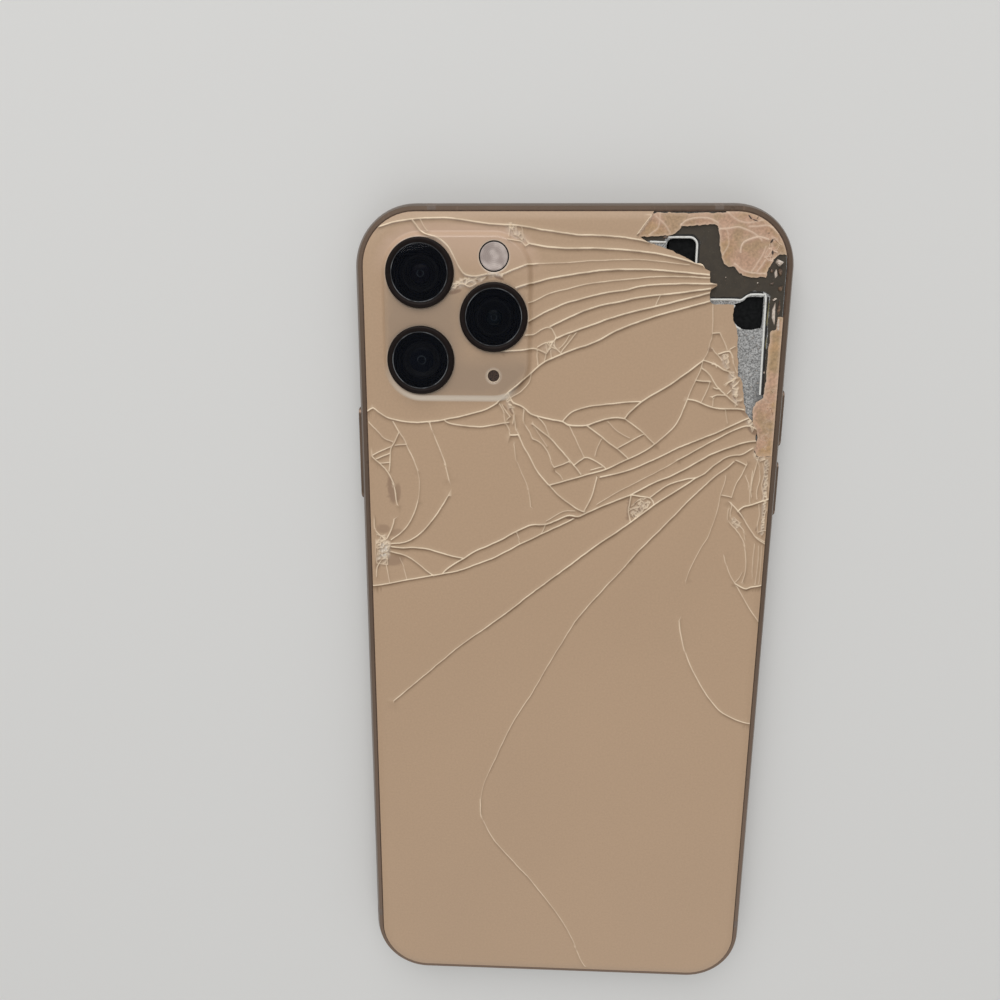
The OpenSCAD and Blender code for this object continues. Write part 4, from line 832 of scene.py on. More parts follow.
    (0.3, ((36.5, 18), (36.6, 14.5), (36.5, 10.7))),
    (0.3, ((35.1, 18.4), (35, 15), (35.2, 12))),
    (0.3, ((31.9, 10.7), (32.6, 11.5), (33.2, 12.8))),
    (0.8, ((30.5, 34.1), (32.4, 33.2))),
    (0.5, ((32.6, 33.5), (31.8, 31.5), (31, 30), (30.4, 28), (30.2, 27.2))),
    (0.6, ((28.3, 27.6), (30.2, 27.2))),
    (0.5, ((34.6, 34.8), (34, 32), (33.6, 29), (33.8, 27.5))),
    (1.0, ((31.6, 24.6), (32.5, 25.4), (34, 25.8), (36, 26.6), (37.6, 27))),
    (0.8, ((30, 26.2), (31.2, 25), (31.8, 24.3), (32.5, 23.3), (33.5, 21.8), (34.6, 20.3), (35.5, 19.3),
           (37.4, 18.1))),
    (0.5, ((29.8, 25), (29.8, 23), (30.5, 22), (32, 20.3), (33.2, 18), (33.7, 15.5), (33.8, 13),
           (33.4, 11))),
    (0.5, ((29.6, 16), (30.2, 14), (31, 12), (32, 10.5))),
    (0.6, ((32.4, 9.9), (33.2, 8.6), (34.2, 6.8), (36, 4.2), (37.4, 2.4))),
    (1.0, ((32, 10.5), (33.2, 9.8), (34.2, 9.5), (35, 9.9), (37.4, 10.2))))

# Crushed glass: start and end of each stretch, its radius, the size of a bit, how white it is and how
# strong the cracks between its bits are
CRUSHED = (
    ((-34.7, 15.1), (-34.5, 16.7), 1.3, 0.5, 1.0, 0.5),
    ((-35.3, 14.5), (-35.9, 14.2), 0.5, 0.5, 0.6, 0.4),
    ((-34.8, 14), (-34.6, 18.2), 1.5, 0.9, 0.1, 0.35),
    ((-4.4, 53.9), (-3.2, 54.1), 1.2, 0.95, 0.12, 0.5),
    ((-11.4, 45.2), (-10.9, 43.4), 0.6, 0.55, 0.2, 0.45),
    ((-21.2, 64.4), (-16.2, 65.9), 0.7, 0.55, 0.4, 0.5),
    ((-14.5, 66.7), (-12.8, 66.4), 0.5, 0.5, 0.5, 0.5),
    ((-10.9, 74.3), (-9.2, 72.6), 1.1, 0.8, 0.25, 0.5),
    ((12.6, 24.2), (14.2, 25.6), 1.3, 0.5, 0.2, 0.5),
    ((27, 52.8), (27.6, 51), 0.7, 0.6, 0.3, 0.45),
    ((28.6, 49.6), (29.8, 44.8), 0.8, 0.7, 0.3, 0.45),
    ((32.2, 41.4), (33, 40), 0.7, 0.6, 0.3, 0.5),
    ((34.2, 35.8), (34.8, 34.6), 0.9, 0.7, 0.35, 0.5),
    ((36, 34), (36.3, 20.5), 0.5, 0.45, 0.4, 0.45),
    ((30.8, 22.8), (31.7, 21.7), 0.7, 0.6, 0.2, 0.35))

# Dark patches: where the layer under the glass has let go, and painted shadows (the wedge at -9.6, 47.3 and
# the crumbs round 13, 25); middle, half length, half width, turn, strength
STAINS_AND_SHADOWS = (
    (-32.8, 27.8, 2.5, 0.75, 97, 0.5), (-31.8, 27.2, 1.8, 0.6, 85, 0.4), (-34.7, 20.3, 1.3, 0.8, 0, 0.35),
    (-32.3, 19.6, 1.2, 0.6, 20, 0.3), (-32.8, 14.1, 1.8, 1.0, 10, 0.4), (-36, 13.2, 1.1, 0.5, 80, 0.4),
    (-9.6, 47.3, 2.0, 0.3, 41, 0.9), (1, 22.9, 1.2, 0.25, 0, 0.9), (11.4, 24.8, 2.3, 0.3, 88, 0.5),
    (-20.6, 63.6, 1.1, 0.3, 15, 0.6), (-25.9, 73.5, 0.7, 0.2, -28, 0.7), (-12.9, 66, 0.9, 0.25, -20, 0.7),
    (-10.6, 42.7, 0.6, 0.2, -60, 0.6), (-11.7, 43.4, 0.6, 0.15, -50, 0.5), (24.6, 53.9, 0.5, 0.35, 0, 0.5),
    (13.4, 24.6, 0.7, 0.2, 30, 0.5), (12.3, 23.4, 0.5, 0.2, 0, 0.6),
    (12.6, 26, 0.5, 0.2, 60, 0.5), (14.3, 25.9, 0.45, 0.2, -40, 0.5), (13.2, 25.6, 0.35, 0.15, 0, 0.4),
    (28.7, 47.4, 0.6, 0.2, -50, 0.45), (29.4, 45.6, 0.5, 0.18, -60, 0.5), (27.4, 51.8, 0.5, 0.2, -70, 0.4),
    (36.3, 31.5, 0.9, 0.2, 85, 0.5), (36.2, 24.5, 0.9, 0.2, 92, 0.45), (35.2, 21.4, 0.6, 0.2, 70, 0.4),
    (36, 28, 5.5, 0.35, 90, 0.25),
    (33.1, 39.6, 1.1, 0.5, -38, 0.6), (31.2, 43, 1.2, 0.35, -50, 0.4), (32, 24, 1.0, 0.35, -48, 0.4))

# Ridges and steps of the spalled layer at the corner, painted like the cracks: a highlight on the side
# towards the light, shade on the other
RIDGES = (
    (0.6, ((25.1, 74.2), (26.5, 74.3), (28, 74.5), (29.4, 74.1), (30.6, 73.6), (31.6, 73), (32.2, 72.4))),
    (0.9, ((28.9, 70.4), (29, 71.5), (29.6, 72.2), (30.8, 72.7), (32, 72.9), (33.4, 72.5))),
    (0.5, ((30, 74.6), (31.5, 74.6), (33, 74.8), (34, 74.4))),
    (0.5, ((32, 67.2), (32.9, 68.5), (33.7, 69.8), (34.3, 71), (34, 72.6))),
    (0.4, ((30.9, 67), (32, 68.7), (32.8, 70.2), (33.2, 71.4))),
    (0.6, ((28, 68.4), (29.2, 67.5), (30.6, 67), (33.4, 66.8))),
    (0.4, ((25.9, 70), (26.7, 71.6), (26.6, 73), (26, 74.3))),
    (0.8, ((11.4, 73.6), (12.4, 74.9), (13.4, 76.4))),
    (0.5, ((14, 76.2), (15.5, 75), (16.4, 73.7))),
    (0.4, ((13.2, 73.3), (14.6, 74.6), (14.8, 77))),
    (0.6, ((18.4, 74.9), (19.4, 75.7), (21.5, 76), (23.4, 75.8), (24.6, 75.2))),
    (0.4, ((26, 77), (28, 75.6), (30, 75.2), (32, 75.6))))

# Small dark marks on that layer, in the same terms as the dark patches and painted shadows
DARK_MARKS = (
    (30, 76.2, 0.45, 0.12, -50, 1.0), (30.9, 75.7, 0.5, 0.1, -20, 0.9), (31.3, 76.1, 0.3, 0.08, 60, 0.7),
    (34, 72.3, 0.4, 0.15, 60, 1.0), (34.3, 70.4, 0.35, 0.18, 100, 1.0), (35.9, 69.9, 0.5, 0.15, -15, 1.0),
    (33.4, 73.6, 0.2, 0.1, 0, 0.6))


# ---------------------------------------------------------------- solid shapes

def add_mesh(name, verts, faces, material, angle=None, smooth_faces=True):
    """Makes a piece from points in millimetres. With an angle, in degrees, its faces are turned right way
    out, and its edges are sharp where the surface turns by more."""
    mesh = bpy.data.meshes.new(name)
    mesh.from_pydata([tuple(c * MM for c in v) for v in verts], [], faces)
    mesh.validate()
    mesh.polygons.foreach_set("use_smooth", [smooth_faces] * len(mesh.polygons))
    mesh.materials.append(material)
    piece = bpy.data.objects.new(name, mesh)
    bpy.context.scene.collection.objects.link(piece)
    if angle:
        work = bmesh.new()
        work.from_mesh(mesh)
        bmesh.ops.recalc_face_normals(work, faces=work.faces)
        for edge in work.edges:
            edge.smooth = len(edge.link_faces) == 2 and edge.calc_face_angle(0) < math.radians(angle)
        work.to_mesh(mesh)
        work.free()
    return piece


def bend_round(profile, r):
    """The profile with its inner corners cut back by r, so that they catch light."""
    out = [profile[0]]
    for a, b, c in zip(profile, profile[1:], profile[2:]):
        a, b, c = (np.array(v, float) for v in (a, b, c))
        for other in (a, c):
            way = other - b
            size = np.linalg.norm(way)
            out.append(tuple(b + way / size * min(r, size * 0.45)))
    out.append(profile[-1])
    return out


def joined(*points):
    """A profile that ends where it starts."""
    return [*points, points[0]]


def turned(name, centre, profile, material, steps, bevel, slot, *nodes, body=FIXED):
    """A piece turned on an upright axis and attached to the body that it rides on. The profile is (radius,
    height), and starts or ends on the axis or closes on itself."""
    loop = profile[0] == profile[-1]
    profile = bend_round(profile, bevel)
    if loop:
        profile = profile[:-1]
    verts, faces, rows = [], [], []
    for r, z in profile:
        if r < 1e-9:
            rows.append([len(verts)] * steps)
            verts.append((centre[0], centre[1], z))
            continue
        rows.append(list(range(len(verts), len(verts) + steps)))
        for i in range(steps):
            angle = 2 * math.pi * i / steps
            verts.append((centre[0] + r * math.cos(angle), centre[1] + r * math.sin(angle), z))
    pairs = list(zip(rows, rows[1:])) + ([(rows[-1], rows[0])] if loop else [])
    for low, high in pairs:
        for i in range(steps):
            j = (i + 1) % steps
            face = [low[i], low[j], high[j], high[i]]
            face = [v for n, v in enumerate(face) if v not in face[:n]]
            if len(face) > 2:
                faces.append(face)
    return stand_in(add_mesh(name, verts, faces, material, 35), slot, *nodes, body=body)


def bead(name, lines, width, height, z, material):
    """Half-round lips along lines. A line whose ends meet is closed."""
    verts, faces = [], []
    for line in lines:
        closed = np.linalg.norm(line[0] - line[-1]) < 1e-6
        path = line[:-1] if closed else line
        if closed:
            along = np.roll(path, -1, 0) - np.roll(path, 1, 0)
        else:
            along = np.gradient(path, axis=0)
        along /= np.linalg.norm(along, axis=1)[:, None]
        left = np.stack([-along[:, 1], along[:, 0]], 1)
        start = len(verts)
        ring = 9
        for p, side in zip(path, left):
            for i in range(ring):
                angle = math.pi * i / (ring - 1)
                xy = p + side * width / 2 * math.cos(angle)
                verts.append((xy[0], xy[1], z + height * math.sin(angle)))
        n = len(path)
        for i in range(n if closed else n - 1):
            j = (i + 1) % n
            for k in range(ring):
                m = (k + 1) % ring
                faces.append([start + i * ring + k, start + j * ring + k, start + j * ring + m,
                              start + i * ring + m])
        if not closed:
            faces.append(list(range(start, start + ring)))
            faces.append(list(range(start + (n - 1) * ring, start + n * ring))[::-1])
    return add_mesh(name, verts, faces, material, 50)


def chips(name, spots, material, rng):
    """Loose bits of glass: (x, y, length, width, turn in degrees, bottom, thickness)."""
    verts, faces = [], []
    for x, y, length, width, turn, z, thick in spots:
        start = len(verts)
        n = int(rng.integers(5, 8))
        angles = np.sort(rng.uniform(0, 2 * math.pi, n) * 0.25 + np.linspace(0, 2 * math.pi, n, False) * 0.9)
        ca, sa = math.cos(math.radians(turn)), math.sin(math.radians(turn))
        for level, shrink in ((z, 1.0), (z + thick, 0.78)):
            for a in angles:
                u = 0.5 * length * shrink * math.cos(a)
                v = 0.5 * width * shrink * math.sin(a)
                lift = rng.uniform(-0.25, 0.25) * thick if level > z else 0
                verts.append((x + u * ca - v * sa, y + u * sa + v * ca, level + lift))
        verts.append((x, y, z + thick * 1.1))
        for i in range(n):
            j = (i + 1) % n
            faces.append([start + i, start + j, start + n + j, start + n + i])
            faces.append([start + n + i, start + n + j, start + 2 * n])
        faces.append(list(range(start, start + n))[::-1])
    return add_mesh(name, verts, faces, material, 1, smooth_faces=False)


def dress(material, *nodes):
    """Gives CAD nodes a material."""
    done = []
    for node in nodes:
        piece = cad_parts[node]
        piece.data.materials.clear()
        piece.data.materials.append(material)
        done.append(piece)
    return done


def stand_in(piece, slot, *nodes, body=FIXED):
    """Attaches a piece to the body that it rides on and hides the nodes that it stands for. The slot is not
    used.
    """
    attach(piece, body)
    if nodes:
        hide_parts(*nodes)
    return [piece]


# ---------------------------------------------------------------- looks

# Values painted on the meshes that the looks read
LAYER_MASKS = ("line", "glow", "shade", "tint", "rim", "stain_and_shadow")
GLASS_MASKS = ("line", "glow", "shade", "crush", "stain_and_shadow", "tint", "gloss", "rim", "lip", "sheen", "dark_reflection")


def glass_look(s):
    """Satin back glass: a painted layer under glass, with cracks seen from above. Painted light and shade on
    it: highlights and shade along the cracks, highlights round the holes and on the plateau's lower shoulder,
    a sheen and a dark reflection on the plateau, and painted shadows among the dark patches.
    """
    g = Graph("cracked_glass")
    line, glow, shade, crush, stain_and_shadow, tint, gloss, rim, lip, sheen, dark_reflection = map(g.mask, GLASS_MASKS)
    grain = g.noise(2.6, 3.0)
    base = g.shade(s.colour, g.noise(0.03, 2.0), 0.05)
    base = g.shade_by(base, grain, 0.05)
    # painted dark reflection greying the plateau, then a painted sheen on its upper part
    base = g.mix(base, (0.30, 0.215, 0.15), dark_reflection * 0.75)
    base = g.mix(base, (0.56, 0.39, 0.28), sheen)
    base = g.mix(base, (0.62, 0.47, 0.33), (tint * 0.42).clamp())
    base = g.mix(base, (0.30, 0.19, 0.12), (tint * -0.28).clamp())
    # painted light: a soft glow on each crack's side towards the light
    base = g.mix(base, (0.70, 0.53, 0.37), (glow * 0.34).clamp())
    powder = (crush * (g.noise(3.1, 3.0) + 0.45)).clamp()
    bits = g.mix((0.80, 0.75, 0.68), (0.40, 0.27, 0.19), g.noise(1.9, 3.0).ramp(0.50, 0.68))
    base = g.mix(base, bits, powder)
    # dark patches: where the layer under the glass let go, and painted shadows such as the wedge by the hub
    # and the crumbs' shadows
    base = g.mix(base, (0.17, 0.095, 0.06), (stain_and_shadow * (grain * 0.5 + 0.75)).clamp())
    # painted shade on each crack's side away from the light, then its pale line, painted as a highlight on
    # the side towards it
    come_and_go = g.noise(0.28, 2.0, seed=2.0).ramp(0.3, 0.7)
    base = g.mix(base, s.shade_colour, (shade * (1.35 - come_and_go * 0.35)).clamp())
    base = g.mix(base, s.crack_and_highlight_colour, (line * (come_and_go * 0.75 + 0.75)).clamp())
    # painted highlights: the bevel round each hole and the plateau's lower shoulder
    base = g.mix(base, (0.88, 0.79, 0.67), (rim * 0.3 + lip * 0.9).clamp())
    smudge = g.noise(0.06, 4.0, 0.6)
    rough = (0.40 + smudge * 0.14 - gloss * 0.12 + crush * 0.2 + line * 0.2).clamp()
    return g.finish(base_color=base, roughness=rough, coat_weight=(gloss * 0.35 + 0.03).clamp(),
                    coat_roughness=0.12, normal=g.bump(g.noise(6.0, 2.0), 0.06, 0.01))


def layer_look(s):
    """Spalled glass that the film still holds: smooth shell-like flakes, tan and pink."""
    g = Graph("spalled_layer")
    line, glow, shade, tint, rim, stain_and_shadow = map(g.mask, LAYER_MASKS)
    cloud = g.noise(0.16, 3.0, 0.5)
    fine = g.noise(2.2, 4.0, 0.6)
    base = g.mix(s.layer_colour, (0.485, 0.302, 0.203), cloud.ramp(0.44, 0.56))
    base = g.mix(base, (0.37, 0.255, 0.14), g.noise(0.2, 2.0, seed=7.0).ramp(0.5, 0.62) * 0.7)
    base = g.shade_by(base, fine, 0.3)
    # painted shade beside the ridges, over the shards' random tint; then painted highlights beside the ridges
    # and a paler band along the layer's edge
    base = g.mix(base, (0.34, 0.20, 0.13), (tint * -0.36 + shade * 0.65).clamp())
    base = g.mix(base, (0.76, 0.58, 0.44), (line * 0.95 + glow * 0.4 + rim * 0.4).clamp())
    base = g.mix(base, (0.045, 0.028, 0.02), stain_and_shadow)
    return g.finish(base_color=base, roughness=0.32 + fine * 0.2, normal=g.bump(fine, 0.3, 0.06))


def film_look(s):
    """Dark bonding film with scraps of glue and dust."""
    g = Graph("bond_film")
    cloud = g.noise(0.7, 5.0, 0.6)
    base = g.shade(s.film_colour, cloud.ramp(0.35, 0.7), 0.14)
    dust = g.noise(5.5, 2.0).ramp(0.66, 0.74)
    base = g.mix(base, (0.20, 0.17, 0.14), dust * 0.3)
    return g.finish(base_color=base, roughness=0.62 + cloud * 0.2, normal=g.bump(cloud, 0.3, 0.06))


def plate_look(s):
    """Sprayed grey plate with dark specks and glue marks."""
    g = Graph("bare_plate")
    cloud = g.noise(0.35, 4.0)
    grit = g.noise(3.9, 2.0, 0.6)
    base = g.mix(scaled(s.plate_colour, 0.45), scaled(s.plate_colour, 1.4), grit.ramp(0.33, 0.67))
    base = g.shade_by(base, cloud, 0.08)
    base = g.mix(base, (0.085, 0.08, 0.075), g.noise(1.7, 3.0, seed=5.0).ramp(0.62, 0.68) * 0.6)
    base = g.mix(base, (0.10, 0.10, 0.10), g.mask("shadow") * 0.75)
    return g.finish(base_color=base, roughness=0.5 + cloud * 0.2, metallic=0.15,
                    normal=g.bump(grit, 0.5, 0.06))


def lip_look(s):
    """Pale moulded lip, a little grubby."""
    g = Graph("pale_lip")
    grime = g.noise(1.3, 4.0).ramp(0.5, 0.75)
    base = g.mix(s.lip_colour, (0.40, 0.36, 0.30), grime * 0.5)
    return g.finish(base_color=base, roughness=0.4 + grime * 0.2, normal=g.bump(grime, 0.2, 0.05))


def ring_look(s):
    """Dark brown anodised trim with fine turning marks."""
    g = Graph("trim_ring")
    fine = g.noise(2.0, 3.0)
    wear = g.noise(0.9, 5.0, 0.7).ramp(0.60, 0.72)
    base = g.mix(s.ring_colour, scaled(s.ring_colour, 3), fine)
    base = g.mix(base, (0.10, 0.065, 0.05), wear * 0.15)
    return g.finish(base_color=base, roughness=0.34 + fine * 0.12 + wear * 0.1, metallic=0.2,
                    specular_ior_level=0.1, normal=g.bump(fine, 0.05, 0.02))


def dotted_look():
    """Thin bright circle round a window: a pale chamfer with a painted highlight, broken by random dark gaps
    in that highlight.
    """
    g = Graph("knurl")
    dots = g.cells(3.0).ramp(0.12, 0.34)
    # random dark gaps in the painted highlight
    highlight_gaps = g.noise(0.35, 2.0).ramp(0.42, 0.58)
    base = g.mix((0.21, 0.22, 0.23), (0.09, 0.095, 0.10), dots * 0.6)
    base = g.mix(base, (0.03, 0.03, 0.032), highlight_gaps * 0.85)
    return g.finish(base_color=base, roughness=0.35 + dots * 0.2, metallic=0.1, specular_ior_level=0.1)


def window_look(s):
    """Coated cover glass: near black, and half clear."""
    g = Graph("camera_window")
    smear = g.noise(0.5, 4.0, 0.6)
    base = g.mix(s.window_colour, scaled(s.window_colour, 2.5), smear)
    return g.finish(base_color=base, roughness=0.05 + smear.ramp(0.55, 0.8) * 0.15,
                    specular_ior_level=0.08, alpha=0.45 + smear * 0.1)


def diffuser_look():
    """Milky flash window with soft spots over its rings."""
    g = Graph("flash_window")
    spots = g.cells(0.75, feature="SMOOTH_F1").ramp(0.15, 0.6)
    fine = g.noise(3.0, 2.0)
    base = g.mix((0.54, 0.46, 0.42), (0.33, 0.265, 0.24), spots)
    base = g.mix(base, (0.42, 0.38, 0.36), fine * 0.3)
    return g.finish(base_color=base, roughness=0.28 + fine * 0.1, specular_ior_level=0.4)


def band_look(s, name="band", marks=1.0):
    """Polished bronze-gold steel: smudges, fine scratches and small dents, with painted shade in the dents.
    """
    g = Graph(name)
    smudge = g.noise(0.11, 4.0, 0.6)
    long_scratch = g.noise(1.5, 3.0, stretch=(1, 0.05, 3)).ramp(0.62, 0.68)
    dent_and_shade = g.noise(0.5, 2.0, seed=3.0).ramp(0.68, 0.74)
    base = g.shade(s.colour, smudge, 0.12)
    base = g.mix(base, scaled(s.colour, 1.6), long_scratch * 0.25 * marks)
    # painted shade: the dents are darkened
    base = g.mix(base, scaled(s.colour, 0.5), dent_and_shade * 0.3 * marks)
    rough = s.roughness + smudge * 0.12 + long_scratch * 0.12 * marks
    relief = dent_and_shade * -1.0 + long_scratch * -0.2
    return g.finish(base_color=base, roughness=rough, metallic=0.92, normal=g.bump(relief, 0.3 * marks, 0.04))


def mottled(name, colour, other, scale, rough=0.5, metallic=0.0, stretch=None, relief=0.2, depth=0.02,
            shine=0.5, detail=4.0, grain=0.6, ramp=(0.3, 0.7), spread=0.15):
    """A plain surface, moulded, cast, brushed or broken: one noise moves all its values a little."""
    g = Graph(name)
    cloud = g.noise(scale, detail, grain, stretch=stretch)
    base = g.mix(colour, other, cloud.ramp(*ramp) if ramp else cloud)
    normal = {"normal": g.bump(cloud, relief, depth)} if relief else {}
    return g.finish(base_color=base, roughness=rough + cloud * spread, metallic=metallic,
                    specular_ior_level=shine, **normal)


def fracture_look():
    """The broken side of glass: pale, with fine steps."""
    return mottled("fracture", (0.50, 0.37, 0.27), (0.86, 0.80, 0.72), 2.4, rough=0.18, spread=0.2,
                   detail=3.0, grain=0.55, stretch=(1, 1, 5), ramp=(0.35, 0.7), relief=0.5, depth=0.05)


def chip_look(name, colour, other):
    """Loose bits of glass and glue."""
    return mottled(name, colour, other, 2.2, rough=0.25, spread=0.2, grain=0.55, ramp=(0.4, 0.65),
                   relief=0.5, depth=0.1)


def lens_look(name, colour):
    """A coated lens."""
    return mottled(name, scaled(colour, 0.6), scaled(colour, 1.4), 0.8, rough=0.06, spread=0.04,
                   detail=2.0, grain=0.55, ramp=None, relief=0, shine=0.35)


def baffle_look():
    """Matt black stepped plastic."""
    return mottled("baffle", (0.003, 0.003, 0.0035), (0.014, 0.014, 0.015), 5.0, spread=0.25, detail=3.0,
                   grain=0.55, ramp=None, shine=0.2)


def board_look():
    """Solder mask over traces, with pads."""
    g = Graph("board")
    traces = g.cells(1.1, feature="DISTANCE_TO_EDGE").ramp(0.02, 0.05)
    pads = 1 - g.cells(0.9, seed=4.0).ramp(0.10, 0.14)
    base = g.mix((0.035, 0.12, 0.075), (0.012, 0.06, 0.045), traces)
    base = g.mix(base, (0.62, 0.50, 0.26), pads)
    return g.finish(base_color=base, roughness=0.5 - pads * 0.2, metallic=pads * 0.8)


def coil_look():
    """Flat copper winding: rings one beside the next."""
    g = Graph("copper_coil")
    where = g.node("ShaderNodeVectorMath", {0: g.place(1.0), 1: (1.0, 1.0, 0.0)}, operation="MULTIPLY")
    far = g.node("ShaderNodeVectorMath", {0: where}, out=1, operation="LENGTH")
    turn = g.node("ShaderNodeMath", {0: far * 7.5}, operation="SINE")
    cloud = g.noise(0.6, 3.0)
    base = g.mix((0.42, 0.15, 0.06), (0.80, 0.38, 0.20), turn * 0.5 + 0.5)
    base = g.mix(base, (0.28, 0.11, 0.05), cloud * 0.3)
    return g.finish(base_color=base, roughness=0.3 + cloud * 0.15, metallic=0.9,
                    normal=g.bump(turn, 0.6, 0.05))


def mesh_look():
    """Woven mesh: rows of small holes."""
    g = Graph("sound_mesh")
    dots = g.cells(5.0).ramp(0.25, 0.45)
    base = g.mix((0.006, 0.005, 0.005), (0.06, 0.035, 0.024), dots)
    return g.finish(base_color=base, roughness=0.6 - dots * 0.15, metallic=0.4,
                    normal=g.bump(dots, 0.5, 0.04))


def floor_look(s):
    """Plain pale floor."""
    g = Graph("floor")
    cloud = g.noise(0.004, 2.0)
    return g.finish(base_color=g.shade(s.floor_colour, cloud, 0.01), roughness=0.8)


# ---------------------------------------------------------------- the back glass and what shows under it

def outline(inset, step=1.6):
    """The glass outline moved in by a distance."""
    return rounded_box(-HALF_W + inset, -HALF_L + inset, HALF_W - inset, HALF_L - inset,
                       max(0.5, GLASS_CORNER - inset), turn=14, step=step)


def plateau_ring(inset, turn=12, step=0.8):
    """The plateau's outline moved in by a distance."""
    x0, y0, x1, y1, r = PLATEAU
    return rounded_box(x0 + inset, y0 + inset, x1 - inset, y1 - inset, r - inset, turn=turn, step=step)


def glass_holes():
    """Middle and radius of each round hole in the glass."""
    gaps = {f"camera_ring_{name}": 0.03 for name in CAMERAS} | {"flash_window": 0.05, "rear_mic_mesh": 0.27}
    found = []
    for node, gap in gaps.items():
        at, r, _, _ = disc_mm(node)
        found.append((at, r + gap))
    return found


def glass_height(s, holes):
    """The glass surface as a formula of place."""
    top = PLATEAU_Z - s.plateau_height / MM
    drop = s.edge_drop / MM

    def height(p):
        edge = box_distance(p, -HALF_W, -HALF_L, HALF_W, HALF_L, GLASS_CORNER)
        z = top - drop * np.clip(1 + edge / GRIND, 0, 1) ** 2
        step = np.clip(-box_distance(p, *PLATEAU) / SHOULDER, 0, 1)
        z = z + s.plateau_height / MM * step * step * (3 - 2 * step)
        for centre, r in holes:
            gap = np.linalg.norm(p - centre, axis=1) - r
            z = z - HOLE_DROP * np.clip(1 - gap / HOLE_RIM, 0, 1)
        return z

    return height


class PhoneStep:
    """What the phone's operators share."""
    bl_options = {"REGISTER", "UNDO"}

    def execute(self, context):
        made = self.make(context.scene)
        if not made:
            raise RuntimeError(f"{self.bl_label}: nothing was made")
        for piece in made:
            if piece.type == "MESH" and not len(piece.data.polygons):
                raise RuntimeError(f"{self.bl_label}: {piece.name} is empty")
        return {"FINISHED"}


def shoulder_highlight(p):
    """How much a point lies on the plateau's shoulder along its lower side, where a pale painted highlight
    goes.
    """
    d = 0.05
    gap = -box_distance(p, *PLATEAU) / SHOULDER
    down = (box_distance(p - (0, d), *PLATEAU) - box_distance(p + (0, d), *PLATEAU)) / (2 * d)
    whole = np.clip((-9 - p[:, 0]) / 3, 0, 1)
    return np.clip(1.4 - np.abs(2.6 * gap - 1.3), 0, 1) * np.clip(down, 0, 1) ** 1.3 * whole


def plateau_dark_reflection(p):
    """How much a point lies on the part of the plateau that isn't broken and is made greyer by a painted dark
    reflection.
    """
    x, y = p[:, 0], p[:, 1]
    on = np.clip(-box_distance(p, *PLATEAU) / SHOULDER - 0.3, 0, 1)
    part = np.clip(np.maximum((-16.5 - x) / 5, (54.5 - y) / 4), 0, 1)
    return on * part * np.clip((69 - y) / 8, 0, 1)


def top_sheen(p):
    """How much a point lies on the upper part of the plateau, made paler by a painted sheen."""
    on = np.clip(1.5 - box_distance(p, *PLATEAU) / SHOULDER, 0, 1)
    return on * np.clip((p[:, 1] - 66) / 6, 0, 1) * 0.8


def fan_lean(centre):
    """How much paler a shard is for its place: the long slivers beside the missing corner are."""
    x, y = centre
    return 0.75 * float(np.clip((x + 8) / 8, 0, 1) * np.clip((y - 50) / 6, 0, 1)) - 0.05


class PHONE_OT_back_glass(PhoneStep, bpy.types.Operator):
    """Back glass with its plateau, cracks, crushed spots and missing corner"""
    bl_idname = "phone.back_glass"
    bl_label = "Back glass"

    def make(self, scene):
        s = scene.phone_glass
        rng = np.random.default_rng(s.seed)
        holes = glass_holes()
        sheet = Sheet(glass_height(s, holes), GLASS_LOW[2], rng)
        sheet.outer(outline(0))
        for inset in GRIND_LINES:
            sheet.line(outline(inset), closed=True)
        for inset in SHOULDER_LINES:
            sheet.line(plateau_ring(inset), closed=True)
        for centre, r in holes:
            steps = 96 if r > 4 else 48
            sheet.hole(circle(centre, r, steps))
            sheet.line(circle(centre, r + HOLE_RIM, steps), closed=True)
            sheet.line(circle(centre, r + 2 * HOLE_RIM, steps), closed=True)
        sheet.hole(ragged(BREAK_EDGE, 0.7, 0.07, rng, closed=True))
        for strength, points in CRACKS:
            width = s.crack_width / MM * (0.55 + 0.45 * strength)
            sheet.crack(points, strength, width, s.crack_depth / MM * strength)
        for patch in CRUSHED:
            sheet.web(*patch)
        for patch in STAINS_AND_SHADOWS:
            sheet.stain_and_shadow(*patch)
        sheet.fill(-HALF_W, -HALF_L, HALF_W, HALF_L, 1.7)
        step = SHOULDER * 0.5
        sheet.extra["gloss"] = lambda p: np.clip(-box_distance(p, *PLATEAU) / step, 0, 1)
        # painted highlight on the bevel round each hole
        sheet.extra["rim"] = lambda p: np.max(
            [np.clip(1.3 - np.abs(np.linalg.norm(p - c, axis=1) - r) / HOLE_RIM, 0, 1) for c, r in holes], 0)
        # painted highlight along the plateau's lower shoulder
        sheet.extra["lip"] = shoulder_highlight
        # painted sheen on the plateau's upper part and painted dark reflection on its lower part
        sheet.extra["sheen"] = top_sheen
        sheet.extra["dark_reflection"] = plateau_dark_reflection
        sheet.lean = fan_lean
        piece = sheet.build("back_glass_cracked", [glass_look(s), fracture_look()], GLASS_MASKS)
        return stand_in(piece, "back_glass", "back_glass")


def clip_to_glass(loop):
    """Pulls points that lie outside the glass outline onto it."""
    half = np.array([HALF_W, HALF_L]) - GLASS_CORNER
    p = np.asarray(loop, float)
    q = np.abs(p) - half
    both = (q > 0).all(1)
    size = np.linalg.norm(np.maximum(q, 1e-9), axis=1)
    cut = np.minimum(1, (GLASS_CORNER - 0.02) / size)
    q_round = q * cut[:, None]
    q_flat = np.minimum(q, GLASS_CORNER - 0.02)
    q = np.where(both[:, None], q_round, q_flat)
    return np.sign(p) * (q + half)


def layer_height(low, high):
    """Flaky top between two heights."""
    def height(p):
        x, y = p[:, 0], p[:, 1]
        roll = np.sin(x * 0.5 + 1.2 * np.sin(y * 0.35)) * np.cos(y * 0.45 - 0.8 * np.sin(x * 0.3))
        return low + 0.18 + (high - low) * 0.35 * (0.5 + 0.5 * roll)
    return height


